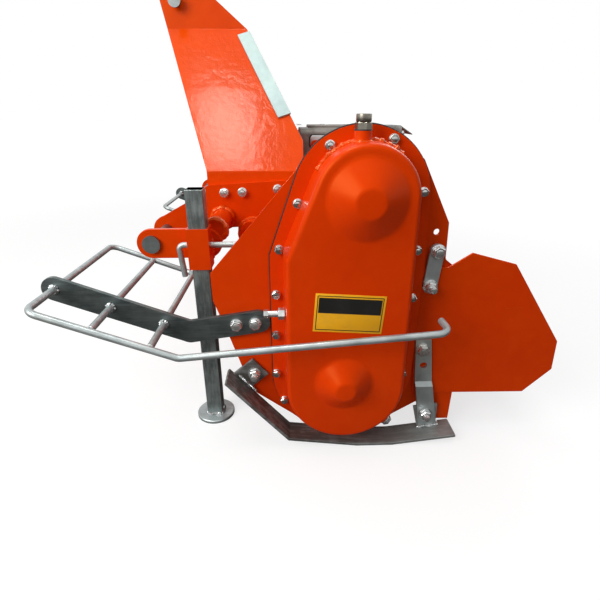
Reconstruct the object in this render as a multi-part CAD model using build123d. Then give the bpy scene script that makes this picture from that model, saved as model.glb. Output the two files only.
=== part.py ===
"""Compact-tractor rotavator: a PTO driven rotary tiller on a three-point hitch.

Millimetres. +X points to the rear, +Y to the right of travel, +Z up. The origin lies on the floor,
under the middle of the machine's length and width. Side outlines are written as (dx, dz) from the
rotor axis. Left-hand pieces are drawn first, and the right-hand ones are their mirror images.
"""
import os
from math import acos, atan2, cos, degrees, hypot, radians, sin, tan

from build123d import *

# ---------------------------------------------------------------- driving dimensions
rotor_x = 52.5            # rotor axis from the middle of the overall length
rotor_z = 163.0           # rotor axis above the floor
inner_width = 962.0       # between the inner faces of the side plates
plate_t = 6.0             # side plates

drive_dx = 23.0           # upper drive axis from the rotor axis
drive_dz = 327.0

hitch_span = 679.0        # between the middles of the two lower hitch pins
hitch_gap = 105.0         # clear gap of each lower hitch, filled by the tractor's link ball
hitch_dx = -358.0         # lower hitch pins from the rotor axis
hitch_dz = 219.5
mast_height = 460.0       # top link pin above the lower hitch pins
top_link_dx = -345.0
top_gap = 54.0            # clear gap of the top link clevis

# fits
running_gap = 0.05        # radial, a shaft in its bearing
weld_gap = 0.1            # round pieces in the holes they are welded into
slide_gap = 0.5           # stand leg in its sleeve, each side
side_gap = 6.0            # turning pieces from the side plates

# ---------------------------------------------------------------- derived levels
inner_y = inner_width / 2
outer_y = inner_y + plate_t
drive_x = rotor_x + drive_dx
drive_z = rotor_z + drive_dz
ear_inner_y = hitch_span / 2 + hitch_gap / 2
frame_outer_y = hitch_span / 2 - hitch_gap / 2


# ---------------------------------------------------------------- helpers
def side_plane(y):
    """Drawing plane at -y on the left, facing outwards, with the rotor axis as its origin."""
    return Plane(origin=(rotor_x, -y, rotor_z), x_dir=(1, 0, 0), z_dir=(0, -1, 0))


def left_plate(face, y, thickness):
    """Plate on the left whose inner face lies y from the middle, and which grows outwards."""
    return extrude(side_plane(y) * face, amount=thickness)


def right(shape):
    """The right-hand twin of a left-hand piece."""
    return mirror(shape, about=Plane.XZ)


def outline(points):
    """Closed face through (dx, dz) points."""
    return make_face(Polyline(*points, close=True))


def disc(dx, dz, radius):
    return Pos(dx, dz) * Circle(radius)


def bar_y(dx, dz, y0, y1, radius):
    """Round bar along Y, from y0 to y1 (left is negative), at (dx, dz) from the rotor axis."""
    plane = Plane(origin=(rotor_x + dx, y0, rotor_z + dz), x_dir=(1, 0, 0), z_dir=(0, 1, 0))
    return extrude(plane * Circle(radius), amount=y1 - y0)


def bar_x(x0, x1, y, z, radius):
    """Round bar along X at (y, z)."""
    plane = Plane(origin=(x0, y, z), x_dir=(0, 1, 0), z_dir=(1, 0, 0))
    return extrude(plane * Circle(radius), amount=x1 - x0)


def block(x0, x1, y0, y1, z0, z1):
    """Box between two corners."""
    centre = Pos((x0 + x1) / 2, (y0 + y1) / 2, (z0 + z1) / 2)
    return centre * Box(x1 - x0, y1 - y0, z1 - z0)


def tangent_points(a, ra, b, rb, side):
    """Where the common outer tangent of circles a and b touches each; side is +1 or -1."""
    ax, az = a
    bx, bz = b
    span = hypot(bx - ax, bz - az)
    heading = atan2(bz - az, bx - ax)
    direction = heading + side * acos((ra - rb) / span)
    start = (ax + ra * cos(direction), az + ra * sin(direction))
    end = (bx + rb * cos(direction), bz + rb * sin(direction))
    return start, end


def link_face(a, ra, b, rb):
    """Plate with two round ends, joined by their tangents."""
    a_up, b_up = tangent_points(a, ra, b, rb, 1)
    a_low, b_low = tangent_points(a, ra, b, rb, -1)
    web = outline([a_up, b_up, b_low, a_low])
    return web + disc(*a, ra) + disc(*b, rb)


os.makedirs("parts", exist_ok=True)
written = {}


def write(name, shape):
    """Keeps the piece and writes its STEP file."""
    written[name] = shape
    export_step(shape, f"parts/{name}.step")


# ---------------------------------------------------------------- side plates
spare_hole_r = 5.5
shaft_r = 20.0            # rotor stub shafts
side_points = [
    (-236, 189), (drive_dx - 85, drive_dz + 62.5), (drive_dx - 45, drive_dz + 94), (drive_dx, drive_dz + 103),
    (drive_dx + 45, drive_dz + 95), (drive_dx + 77, drive_dz + 75.5), (drive_dx + 100, drive_dz + 53),
    (177, 277), (180, 214),
    (188, 196), (234, -22), (233, -139), (198, -139), (176, -88), (158, -96), (98, -135), (-75, -135),
    (-93, -119), (-165, -65), (-187, -14), (-209, 58), (-235, 137),
]
side_face = outline(side_points)
side_face -= disc(0, 0, shaft_r + side_gap)
side_face -= disc(158, 261, spare_hole_r)
side_plate_left = left_plate(side_face, inner_y, plate_t)
write("side_plate_left", side_plate_left)

right_top_dz = drive_dz + 68.0     # the right plate carries no chain case and is lower
right_cut = outline([(-400, right_top_dz), (400, right_top_dz), (400, 900), (-400, 900)])
write("side_plate_right", right(left_plate(side_face - right_cut, inner_y, plate_t)))

# ---------------------------------------------------------------- front cross tube and hood
cross_r = 30.0
cross_wall = 5.0
cross_dx, cross_dz = -172.0, 212.0
cross_stub = 32.0         # the tube stands out of the hitch frames by this
cross_half = frame_outer_y + cross_stub
cross_tube = bar_y(cross_dx, cross_dz, -cross_half, cross_half, cross_r)
cross_tube -= bar_y(cross_dx, cross_dz, cross_wall - cross_half, cross_half - cross_wall, cross_r - cross_wall)
write("cross_tube", cross_tube)

hood_t = 4.0
hood_points = [(-203, 60), (-186, 148), (-110, 218), (40, 238), (140, 209)]


def strip_face(points, thickness):
    """Bent sheet on edge through the points, thickness to the right of the way they run."""
    below = []
    for index, (px, pz) in enumerate(points):
        before = points[max(index - 1, 0)]
        after = points[min(index + 1, len(points) - 1)]
        first = atan2(pz - before[1], px - before[0]) if index else None
        second = atan2(after[1] - pz, after[0] - px) if index < len(points) - 1 else None
        start = first if first is not None else second
        end = second if second is not None else first
        middle = (start + end) / 2
        reach = thickness / cos((end - start) / 2)
        below.append((px + reach * sin(middle), pz - reach * cos(middle)))
    return outline(list(points) + below[::-1])


hood = extrude(side_plane(-inner_y) * strip_face(hood_points, hood_t), amount=inner_width)
write("hood", hood)

# ---------------------------------------------------------------- drive line housings
tube_r = 44.0
tube_wall = 6.0
box_half_y = 85.0         # gearbox body
box_front_dx = -88.0      # gearbox body from the drive axis
box_rear_dx = 76.0
box_low_dz = -82.0
box_high_dz = 88.0


def drive_tube():
    """Left drive tube with its square end flange on the side plate."""
    flange_half = 62.0
    flange_t = 10.0
    start = inner_y
    flange_face = Pos(drive_dx, drive_dz) * RectangleRounded(2 * flange_half, 2 * flange_half, 10)
    body = bar_y(drive_dx, drive_dz, -start, -box_half_y, tube_r)
    body += left_plate(flange_face, start - flange_t, flange_t)
    body += left_plate(flange_face, box_half_y, flange_t)
    return body - bar_y(drive_dx, drive_dz, -start, -box_half_y, tube_r - tube_wall)


tube_left = drive_tube()
write("drive_tube_left", tube_left)
write("drive_tube_right", right(tube_left))

pto_r = 17.5
pto_bearing_r = pto_r + 1.5
nose_r = 46.0
nose_length = 34.0
nose_bore = 60.0
box_front_x = drive_x + box_front_dx
box_rear_x = drive_x + box_rear_dx
nose_x = box_front_x - nose_length
gearbox = block(box_front_x, box_rear_x, -box_half_y, box_half_y, drive_z + box_low_dz, drive_z + box_high_dz)
gearbox = fillet(gearbox.edges().filter_by(Axis.X), 14)
gearbox += bar_x(nose_x, box_front_x, 0, drive_z, nose_r)
gearbox -= bar_x(nose_x, nose_x + nose_bore, 0, drive_z, pto_bearing_r + running_gap)
lid_t = 7.0
gearbox += block(box_front_x + 22, box_rear_x - 22, -62, 62, drive_z + box_high_dz, drive_z + box_high_dz + lid_t)
write("gearbox", gearbox)

rear_box_length = 92.0
rear_box = block(box_rear_x, box_rear_x + rear_box_length, -66, 66, drive_z - 62, drive_z + box_high_dz + 4)
rear_box = fillet(rear_box.edges().filter_by(Axis.X), 12)
write("gearbox_rear_cover", rear_box)

bracket_t = 8.0
bracket_y = 50.0
bracket_points = [
    (cross_dx, cross_dz + cross_r + 30), (drive_dx + box_front_dx, drive_dz + 20),
    (drive_dx + box_front_dx, drive_dz + box_low_dz + 14), (cross_dx, cross_dz - 12),
]
bracket_face = outline(bracket_points) + disc(cross_dx, cross_dz, cross_r + 5)
bracket_face -= disc(cross_dx, cross_dz, cross_r + weld_gap)
bracket = left_plate(bracket_face, bracket_y, bracket_t)
write("gearbox_brackets", Compound(children=[bracket, right(bracket)]))

shield_t = 3.0
shield_half = 70.0
shield_length = 118.0
shield_top = drive_z + 78
shield_low = drive_z - 8
shield_x0 = box_front_x - shield_length
shield = block(shield_x0, box_front_x, -shield_half, shield_half, shield_low, shield_top)
shield = fillet(shield.edges().filter_by(Axis.X).group_by(Axis.Z)[-1], 28)
shield_inner = block(shield_x0, box_front_x, -shield_half + shield_t, shield_half - shield_t,
                     shield_low, shield_top - shield_t)
shield_inner = fillet(shield_inner.edges().filter_by(Axis.X).group_by(Axis.Z)[-1], 28 - shield_t)
write("pto_shield", shield - shield_inner)

# ---------------------------------------------------------------- chain case on the left
back_t = 5.0
lip_t = 3.0
pan_wall = 3.0
pan_depth = 62.0
pan_draft = 5.0
pan_low = (4.0, -15.0)    # middle of the round lower end
pan_low_r = 106.0
pan_top_r = 81.0
lip_low = (5.5, -15.0)
lip_low_r = 135.5
lip_top = (drive_dx, drive_dz - 7.0)
lip_top_r = 113.0
pan_knee_dz = drive_dz - 94.0      # where the front edge starts to lean back
lip_knee_dz = pan_knee_dz - 9.0
lip_rear_knee_dz = 214.0


def case_face(low, low_r, top, top_r, knee, rear_knee=None):
    """Case outline: round lower end, upright sides, a front edge that leans back to a round top."""
    front_x = low[0] - low_r
    rear_x = low[0] + low_r
    knee_point = (front_x, knee)
    front_touch, _ = tangent_points(top, top_r, knee_point, 0, 1)
    other_touch, _ = tangent_points(top, top_r, knee_point, 0, -1)
    if other_touch[0] < front_touch[0]:
        front_touch = other_touch
    rear_point = (rear_x, rear_knee) if rear_knee else (rear_x, low[1])
    first, _ = tangent_points(top, top_r, rear_point, 0, 1)
    second, _ = tangent_points(top, top_r, rear_point, 0, -1)
    rear_touch = first if first[0] > second[0] else second
    points = [(front_x, low[1]), knee_point, front_touch, top, rear_touch, rear_point]
    if rear_knee:
        points.append((rear_x, low[1]))
    return outline(points) + disc(*low, low_r) + disc(*top, top_r)


def shift(face, amount):
    return offset(face, amount=amount)


lip_face = case_face(lip_low, lip_low_r, lip_top, lip_top_r, lip_knee_dz, lip_rear_knee_dz)
pan_face = case_face(pan_low, pan_low_r, (drive_dx, drive_dz), pan_top_r, pan_knee_dz)

back_face = lip_face - disc(0, 0, shaft_r + running_gap)
case_back = left_plate(back_face, outer_y, back_t)
write("case_back_plate", case_back)

# domes over the two shafts: (dx, dz, base radius, flat radius)
domes = [(drive_dx, drive_dz, 62.0, 20.0), (0.0, 0.0, 50.0, 15.0)]
dome_height = 27.0


def cone_on(y, dx, dz, base_r, top_r, height):
    """Flat-topped cone standing outwards from y on the left."""
    plane = Plane(origin=(rotor_x + dx, -y - height / 2, rotor_z + dz), x_dir=(1, 0, 0), z_dir=(0, -1, 0))
    return plane * Cone(base_r, top_r, height)


case_base_y = outer_y + back_t
pan_face_y = case_base_y + lip_t + pan_depth
shoulder = 9.0


def pan_solid(grow, depth, top_fillet):
    """Pressed pan of the case cover, from the lip outwards, with its two domes."""
    body = extrude(side_plane(case_base_y) * shift(pan_face, grow), amount=depth, taper=pan_draft)
    body = fillet(body.faces().sort_by(Axis.Y)[0].edges(), top_fillet)
    for dx, dz, base_r, flat_r in domes:
        body += cone_on(case_base_y + depth - 1, dx, dz, base_r + grow / 2, flat_r + grow / 2, dome_height + 1)
    return body


draft_run = (pan_depth + lip_t) * tan(radians(pan_draft))
dome_foot_blend = 16.0
dome_crown_blend = 12.0
press = pan_solid(draft_run, lip_t + pan_depth, shoulder)
rings = press.edges().filter_by(GeomType.CIRCLE).group_by(Axis.Y)
press = fillet(rings[0], dome_crown_blend)
feet = [edge for edge in press.edges().filter_by(GeomType.CIRCLE)
        if abs(edge.center().Y + pan_face_y) < 0.01 and edge.radius > 30]
press = fillet(feet, dome_foot_blend)
case_cover = press + left_plate(lip_face, case_base_y, lip_t)
case_cover -= pan_solid(draft_run - pan_wall, lip_t + pan_depth - pan_wall, shoulder - pan_wall)
plug_dx = drive_dx - 8.0
plug_y = outer_y + 35.0
plug_boss_r = 13.5
plug_boss_z = rotor_z + drive_dz + pan_top_r + 16
boss_height = 28.0
case_cover += Pos(rotor_x + plug_dx, -plug_y, plug_boss_z - boss_height / 2) * Cylinder(plug_boss_r, boss_height)
drain_heading = radians(-47)
drain_seat = pan_low_r + 16
drain_boss_r = 12.0


def drain_plane(reach):
    """Plane square to the drain's axis, at this reach from the middle of the pan's lower end."""
    seat_x = rotor_x + pan_low[0] + reach * cos(drain_heading)
    seat_z = rotor_z + pan_low[1] + reach * sin(drain_heading)
    return Plane(origin=(seat_x, -plug_y, seat_z), x_dir=(0, 1, 0), z_dir=(cos(drain_heading), 0, sin(drain_heading)))


case_cover += extrude(drain_plane(pan_low_r) * Circle(drain_boss_r), amount=drain_seat - pan_low_r)
write("case_cover", case_cover)

drain_plug = extrude(drain_plane(drain_seat) * Circle(drain_boss_r + 1), amount=2)
drain_plug += extrude(drain_plane(drain_seat + 2) * RegularPolygon(11, 6), amount=10)
write("drain_plug", drain_plug)

hex_r = 13.5
hex_t = 12.0
cap_r = 11.0
cap_t = 11.0
plug = Pos(rotor_x + plug_dx, -plug_y, plug_boss_z) * extrude(RegularPolygon(hex_r, 6), amount=hex_t)
plug += Pos(rotor_x + plug_dx, -plug_y, plug_boss_z + hex_t + cap_t / 2) * Cylinder(cap_r, cap_t)
write("filler_plug", plug)

tension_y = case_base_y + 38
tension_z = rotor_z + 130
pan_front_x = rotor_x + pan_low[0] - pan_low_r - 3.4
nut_t = 11.0
tension = bar_x(pan_front_x - 34, pan_front_x, -tension_y, tension_z, 6)
hex_plane = Plane(origin=(pan_front_x - nut_t, -tension_y, tension_z), x_dir=(0, 1, 0), z_dir=(1, 0, 0))
tension += extrude(hex_plane * RegularPolygon(10.5, 6), amount=nut_t)
head_plane = Plane(origin=(pan_front_x - 36, -tension_y, tension_z), x_dir=(0, 1, 0), z_dir=(1, 0, 0))
tension += extrude(head_plane * RegularPolygon(8, 6), amount=8)
write("chain_tensioner", tension)

# ---------------------------------------------------------------- right-hand bearings
bearing_depth = 34.0
bearing_face = disc(0, 0, 62)
bearing = left_plate(bearing_face, outer_y, 10)
bearing += left_plate(disc(0, 0, 44), outer_y, bearing_depth)
bearing -= left_plate(disc(0, 0, shaft_r + running_gap), outer_y, bearing_depth - 6)
write("rotor_bearing_right", right(bearing))
drive_cap = left_plate(disc(drive_dx, drive_dz, 58), outer_y, 8)
drive_cap += left_plate(disc(drive_dx, drive_dz, 36), outer_y, 16)
write("drive_cap_right", right(drive_cap))

# ---------------------------------------------------------------- lower hitch
hitch_t = 10.0
pin_r = 11.0
spacer_r = 21.0
spacer_dx, spacer_dz = -237.0, 243.0
ear_rear_dx = -253.0
ear_r = 28.5
ear_face = link_face((hitch_dx, hitch_dz), ear_r, (ear_rear_dx, hitch_dz), ear_r)
ear_face -= disc(hitch_dx, hitch_dz, pin_r + weld_gap)
ear = left_plate(ear_face, ear_inner_y, hitch_t)
write("hitch_ear_left", ear)
write("hitch_ear_right", right(ear))

frame_nose_r = 28.0
frame_points = [
    (hitch_dx - 18, hitch_dz + 21), (-312, 275), (-280, 304), (-262, 311), (-100, 320), (-66, 296),
    (-66, 246), (-120, 226), (-235, 222), (hitch_dx + 8, hitch_dz - 27),
]
frame_face = outline(frame_points) + disc(hitch_dx, hitch_dz, frame_nose_r)
frame_face -= disc(hitch_dx, hitch_dz, pin_r + weld_gap)
frame_face -= disc(cross_dx, cross_dz, cross_r + weld_gap)
frame_plate = left_plate(frame_face, frame_outer_y - hitch_t, hitch_t)
write("hitch_frame_left", frame_plate)
write("hitch_frame_right", right(frame_plate))

spacer = bar_y(spacer_dx, spacer_dz, -ear_inner_y, -frame_outer_y, spacer_r)
spacer = chamfer(spacer.edges().filter_by(GeomType.CIRCLE), 2)
write("hitch_spacers", Compound(children=[spacer, right(spacer)]))

pin_head_r = 17.0
pin_head_t = 6.0
pin = bar_y(hitch_dx, hitch_dz, -(ear_inner_y + hitch_t), -(frame_outer_y - hitch_t), pin_r)
pin += bar_y(hitch_dx, hitch_dz, -(ear_inner_y + hitch_t + pin_head_t), -(ear_inner_y + hitch_t), pin_head_r)
pin += bar_y(hitch_dx, hitch_dz, -(frame_outer_y - hitch_t), -(frame_outer_y - hitch_t) + pin_head_t, pin_head_r)
write("hitch_pin_left", pin)
write("hitch_pin_right", right(pin))

# ---------------------------------------------------------------- mast
mast_t = 8.0
fold_dz = 338.0           # lower fold, above which the mast plates lean inwards
foot_dz = 268.0           # lower edge of the bolted foot
mast_outer_y = frame_outer_y - hitch_t
mast_front = -384.0
mast_foot_front = -265.0
mast_foot_rear = -64.0
mast_edge_low = (-63.0, 395.0)     # rear edge of the leaning web, lower and upper corner
mast_edge_high = (-187.0, 628.0)
top_pin_r = 9.5
cheek_outer_y = top_gap / 2 + mast_t
cheek_fold_dz = mast_edge_high[1]
top_link_dz = hitch_dz + mast_height
lean_y = mast_outer_y - cheek_outer_y
lean_z = cheek_fold_dz - fold_dz


def mast_plate():
    """Left mast plate: bolted foot, leaning web and upright cheek of the top link clevis."""
    top_dz = top_link_dz + 34
    section = [(-mast_outer_y, foot_dz), (-mast_outer_y, fold_dz), (-cheek_outer_y, cheek_fold_dz),
               (-cheek_outer_y, top_dz)]
    end_plane = Plane(origin=(rotor_x + mast_front, 0, rotor_z), x_dir=(0, 1, 0), z_dir=(1, 0, 0))
    folded = extrude(end_plane * strip_face(section, mast_t), amount=-mast_front)
    seen = outline([
        (mast_foot_front, foot_dz), (mast_foot_rear, foot_dz), mast_edge_low, mast_edge_high,
        (mast_edge_high[0] - 103, top_dz), (mast_front + 18, top_dz), (mast_front, top_dz - 20),
        (mast_front + 13, cheek_fold_dz), (mast_foot_front, fold_dz),
    ])
    seen -= disc(cross_dx, cross_dz, cross_r + weld_gap)
    seen -= disc(top_link_dx, top_link_dz, top_pin_r + weld_gap)
    return folded & extrude(side_plane(0) * seen, amount=mast_outer_y)


mast_left = mast_plate()
write("mast_left", mast_left)
write("mast_right", right(mast_left))

strap_w = 30.0
strap_t = 5.0
strap_rise = 71.0         # lower end of the strap above the corner of the rear edge
lean = hypot(lean_y, lean_z) / lean_z
edge_run = (mast_edge_high[0] - mast_edge_low[0], (mast_edge_high[1] - mast_edge_low[1]) * lean)
strap_length = hypot(*edge_run) - strap_rise - 12
mast_plane = Plane(origin=(rotor_x, -mast_outer_y, rotor_z + fold_dz), x_dir=(1, 0, 0),
                   z_dir=(0, -lean_z, lean_y))
edge_start = Pos(mast_edge_low[0], (mast_edge_low[1] - fold_dz) * lean)
strap_box = Pos(strap_rise + strap_length / 2, strap_w / 2 - 2, strap_t / 2) * Box(strap_length, strap_w, strap_t)
mast_strap = mast_plane * (edge_start * Rot(0, 0, degrees(atan2(edge_run[1], edge_run[0]))) * strap_box)
write("mast_straps", Compound(children=[mast_strap, right(mast_strap)]))

top_pin_half = cheek_outer_y + 14
top_pin = bar_y(top_link_dx, top_link_dz, -top_pin_half, top_pin_half, top_pin_r)
top_pin += bar_y(top_link_dx, top_link_dz, -top_pin_half - 6, -top_pin_half, 14)
write("top_link_pin", top_pin)

# ---------------------------------------------------------------- parking stand
leg_w = 32.0
leg_wall = 3.0
leg_dx = -262.0
sleeve_wall = 3.5
sleeve_in = leg_w + 2 * slide_gap
sleeve_w = sleeve_in + 2 * sleeve_wall
leg_y = ear_inner_y + hitch_t + sleeve_w / 2
leg_x = rotor_x + leg_dx
sleeve_z0 = rotor_z + 180
sleeve_z1 = rotor_z + 257
leg_top_z = 489.0
foot_t = 7.0
foot_r = 40.0
lock_r = 5.5
lock_z = rotor_z + 223
leg_travel = 150.0


def post(width, z0, z1):
    """Square post at the stand."""
    return Pos(leg_x, -leg_y, (z0 + z1) / 2) * Box(width, width, z1 - z0)


sleeve = post(sleeve_w, sleeve_z0, sleeve_z1) - post(sleeve_in, sleeve_z0, sleeve_z1)
sleeve -= bar_x(leg_x - sleeve_w, leg_x + sleeve_w, -leg_y, lock_z, lock_r + weld_gap)
write("stand_sleeve", sleeve)

leg = post(leg_w, foot_t, leg_top_z) - post(leg_w - 2 * leg_wall, foot_t, leg_top_z)
slot_w = 2 * lock_r + 4
slot_z0 = lock_z - leg_travel - lock_r - 2
slot_z1 = lock_z + lock_r + 2
leg -= block(leg_x - leg_w, leg_x + leg_w, -leg_y - slot_w / 2, -leg_y + slot_w / 2, slot_z0, slot_z1)
write("stand_leg", leg)
foot = Pos(leg_x, -leg_y, foot_t / 2) * Cylinder(foot_r, foot_t)
foot = chamfer(foot.edges().group_by(Axis.Z)[-1], 1.5)
write("stand_foot", foot)

handle_bend = 9.0
lock_path = FilletPolyline(
    (leg_x + 74, -leg_y, lock_z), (leg_x - 40, -leg_y, lock_z), (leg_x - 34, -leg_y, lock_z - 62), radius=handle_bend
)
lock_section = Plane(origin=lock_path @ 0, z_dir=lock_path % 0) * Circle(lock_r)
write("stand_pin", sweep(lock_section, path=lock_path))

# ---------------------------------------------------------------- tail wings and their links
wing_t = 4.0
wing_points = [
    (142, 197), (187, 198), (226, 224), (308, 202), (421, 44), (425, -19), (376, -72), (149, -70), (142, 30),
]
wing = left_plate(outline(wing_points), outer_y, wing_t)
write("tail_wing_left", wing)
write("tail_wing_right", right(wing))

link_t = 5.0
link_top = (161.0, 229.0)
link_low = (155.5, 164.0)
link_y = outer_y + wing_t
link = left_plate(link_face(link_top, 13, link_low, 13), link_y, link_t)
link += left_plate(disc(*link_top, 12), outer_y, wing_t)
write("wing_links", Compound(children=[link, right(link)]))

# ---------------------------------------------------------------- tailboard
hinge_dx, hinge_dz = 170.0, 192.0
hinge_r = 8.0
knuckle_r = 13.0
board_t = 4.0
board_half = inner_y - side_gap - 2
board_points = [(hinge_dx + 9, hinge_dz - 9), (300, 92), (398, 8), (409, -16)]
hinge_rod = bar_y(hinge_dx, hinge_dz, -inner_y, inner_y, hinge_r)
write("tailboard_hinge_rod", hinge_rod)
board = extrude(side_plane(-board_half) * strip_face(board_points, board_t), amount=2 * board_half)
for rib_y in (-260.0, 0.0, 260.0):
    rib_face = outline([(215, 160), (372, 34), (366, 62), (302, 112), (240, 160)])
    board += extrude(side_plane(-rib_y - 4) * rib_face, amount=8)
knuckle_length = 70.0
for knuckle_y in (-400.0, 0.0, 400.0):
    y0 = knuckle_y - knuckle_length / 2
    board += bar_y(hinge_dx, hinge_dz, y0, y0 + knuckle_length, knuckle_r)
board -= bar_y(hinge_dx, hinge_dz, -inner_y, inner_y, hinge_r + running_gap)
write("tailboard", board)

# ---------------------------------------------------------------- skids
skid_w = 50.0
skid_t = 6.0
skid_low_dz = -rotor_z
skid_tip = (-219.0, -11.0)
skid_bend = (-102.0, -146.0)
skid_sole = [(35.0, skid_low_dz), (105.0, skid_low_dz), (233.0, skid_low_dz + 17)]
ramp_heading = atan2(skid_bend[1] - skid_tip[1], skid_bend[0] - skid_tip[0])
tail_heading = atan2(skid_sole[2][1] - skid_sole[1][1], skid_sole[2][0] - skid_sole[1][0])
tab_t = 6.0
tab_start, tab_end, tab_rise = 12.0, 58.0, 56.0   # front tab: along the ramp from its tip, and above it
rear_tab_front, rear_tab_rear, rear_tab_rise = 154.0, 203.0, 50.0
rear_tab_lean = 12.0      # the tab's front edge slopes by this


def on_ramp(along, above):
    """Point along the front ramp from its tip, and square above its lower face."""
    dx = skid_tip[0] + along * cos(ramp_heading) - above * sin(ramp_heading)
    dz = skid_tip[1] + along * sin(ramp_heading) + above * cos(ramp_heading)
    return dx, dz


def on_tail(dx, above=0.0):
    """Point over the rising tail of the sole, above its upper face."""
    return dx, skid_low_dz + skid_t / cos(tail_heading) + (dx - skid_sole[1][0]) * tan(tail_heading) + above


front_tab_face = outline([
    on_ramp(tab_start, skid_t), on_ramp(tab_start, tab_rise), on_ramp(tab_end, tab_rise), on_ramp(tab_end, skid_t),
])
rear_tab_face = outline([
    on_tail(rear_tab_front + rear_tab_lean), on_tail(rear_tab_front, rear_tab_rise),
    on_tail(rear_tab_rear, rear_tab_rise), on_tail(rear_tab_rear + 2),
])
skid = left_plate(strip_face(skid_sole[::-1] + [skid_bend, skid_tip], skid_t), outer_y, skid_w)
skid += left_plate(front_tab_face, outer_y, tab_t)
skid += left_plate(rear_tab_face, outer_y + wing_t, tab_t)
write("skid_left", skid)
write("skid_right", right(skid))

strap_top_dz = 55.0
joggle_dz = -43.0         # the strap steps outwards here, to lie over the skid's tab
joggle_run = 9.0
strap_hole_r = 7.0
strap_hole = (163.0, -1.8)
rear_strap_points = [
    (142, strap_top_dz), (172, strap_top_dz), (184.5, joggle_dz), on_tail(203, 2), on_tail(167, 2), (160, -101),
    (150.5, joggle_dz),
]
strap_in = outer_y + wing_t
strap_section = [
    (-strap_in, 100), (-strap_in, joggle_dz + joggle_run / 2), (-strap_in - tab_t, joggle_dz - joggle_run / 2),
    (-strap_in - tab_t, -170), (-strap_in - 2 * tab_t, -170), (-strap_in - 2 * tab_t, joggle_dz - joggle_run / 2),
    (-strap_in - tab_t, joggle_dz + joggle_run / 2), (-strap_in - tab_t, 100),
]
strap_plane = Plane(origin=(rotor_x, 0, rotor_z), x_dir=(0, 1, 0), z_dir=(1, 0, 0))
rear_strap = extrude(strap_plane * outline(strap_section), amount=300)
rear_strap &= left_plate(outline(rear_strap_points), strap_in, 2 * tab_t)
rear_strap -= left_plate(disc(*strap_hole, strap_hole_r), strap_in, 2 * tab_t)
write("skid_rear_straps", Compound(children=[rear_strap, right(rear_strap)]))

# ---------------------------------------------------------------- side guards
rail_r = 6.0
rail_y = outer_y + 100.0  # near rail, outside the side plate
far_y = outer_y - 260.0   # far rail, inside it
carrier_t = 8.0
carrier_half = 22.0
guard_front = (-508.0, 166.0)
guard_bend = (-281.0, 78.0)
rail_end = (168.0, 118.0)
bar_places = [0.0, 0.405, 0.80]      # along the sloping stretch, from its front


def on_slope(share):
    """Point of the sloping stretch, as (dx, dz)."""
    dx = guard_front[0] + share * (guard_bend[0] - guard_front[0])
    dz = guard_front[1] + share * (guard_bend[1] - guard_front[1])
    return dx, dz


def guard_point(place, y):
    return (rotor_x + place[0], -y, rotor_z + place[1])


rear_bar = on_slope(bar_places[2])
hoop_path = FilletPolyline(
    guard_point((rail_end[0] - 5, rail_end[1] + 4), rail_y - 38),
    guard_point(rail_end, rail_y),
    guard_point(guard_bend, rail_y),
    guard_point(guard_front, rail_y),
    guard_point(guard_front, far_y),
    guard_point(rear_bar, far_y),
    guard_point(rear_bar, rail_y - rail_r),
    radius=18,
)
hoop_section = Plane(origin=hoop_path @ 0, z_dir=hoop_path % 0) * Circle(rail_r)
hoop = sweep(hoop_section, path=hoop_path)
mid_bar = bar_y(*on_slope(bar_places[1]), -(rail_y - rail_r * 0.5), -(far_y + rail_r * 0.5), rail_r)
hoop += mid_bar
write("guard_rails_left", hoop)
write("guard_rails_right", right(hoop))

carrier_rear = (-154.0, 97.0)
carrier_face = link_face(guard_front, carrier_half, guard_bend, carrier_half)
carrier_face += link_face(guard_bend, carrier_half, carrier_rear, carrier_half)
for share in bar_places:
    carrier_face -= disc(*on_slope(share), rail_r + weld_gap)
carrier = left_plate(carrier_face, outer_y, carrier_t)
write("guard_carrier_left", carrier)
write("guard_carrier_right", right(carrier))

# ---------------------------------------------------------------- rotor
rotor_tube_r = 38.0
rotor_end = inner_y - side_gap - 4
stub_reach = outer_y + back_t + 24
rotor_tube = bar_y(0, 0, -rotor_end, rotor_end, rotor_tube_r)
rotor_tube += bar_y(0, 0, -stub_reach, -rotor_end, shaft_r)
rotor_tube += bar_y(0, 0, rotor_end, outer_y + bearing_depth - 8, shaft_r)
write("rotor_tube", rotor_tube)

flange_count = 6
flange_r = 82.0
flange_t = 8.0
end_flange_gap = 73.0     # first and last flange from the side plates
flange_span = inner_width - 2 * end_flange_gap
tine_r = 153.0
tine_t = 8.0
tine_foot = 52.0
tines_per_side = 2


def flange_y(index):
    return -flange_span / 2 + index * flange_span / (flange_count - 1)


flanges = []
for index in range(flange_count):
    y0 = flange_y(index) - flange_t / 2
    flange = bar_y(0, 0, y0, y0 + flange_t, flange_r)
    flanges.append(flange - bar_y(0, 0, y0, y0 + flange_t, rotor_tube_r + weld_gap))
write("rotor_flanges", Compound(children=flanges))


def tine(y_face, hand, angle):
    """Bent tine bolted to a flange face; hand is -1 for a foot to the left and +1 to the right."""
    arm_low = rotor_tube_r + 8
    arm_points = [(-17, arm_low), (17, arm_low), (21, 100), (44, 139), (22, 150), (-6, 124)]
    arm = extrude(Plane(origin=(0, 0, 0), x_dir=(1, 0, 0), z_dir=(0, -1, 0)) * outline(arm_points), amount=-hand * tine_t)
    foot_points = [(-6, 124), (44, 139), (39.5, 146.5), (-10, 131)]
    foot_face = Plane(origin=(0, 0, 0), x_dir=(1, 0, 0), z_dir=(0, -1, 0)) * outline(foot_points)
    arm += extrude(foot_face, amount=-hand * tine_foot)
    return Pos(rotor_x, y_face, rotor_z) * Rot(0, angle, 0) * arm


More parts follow.
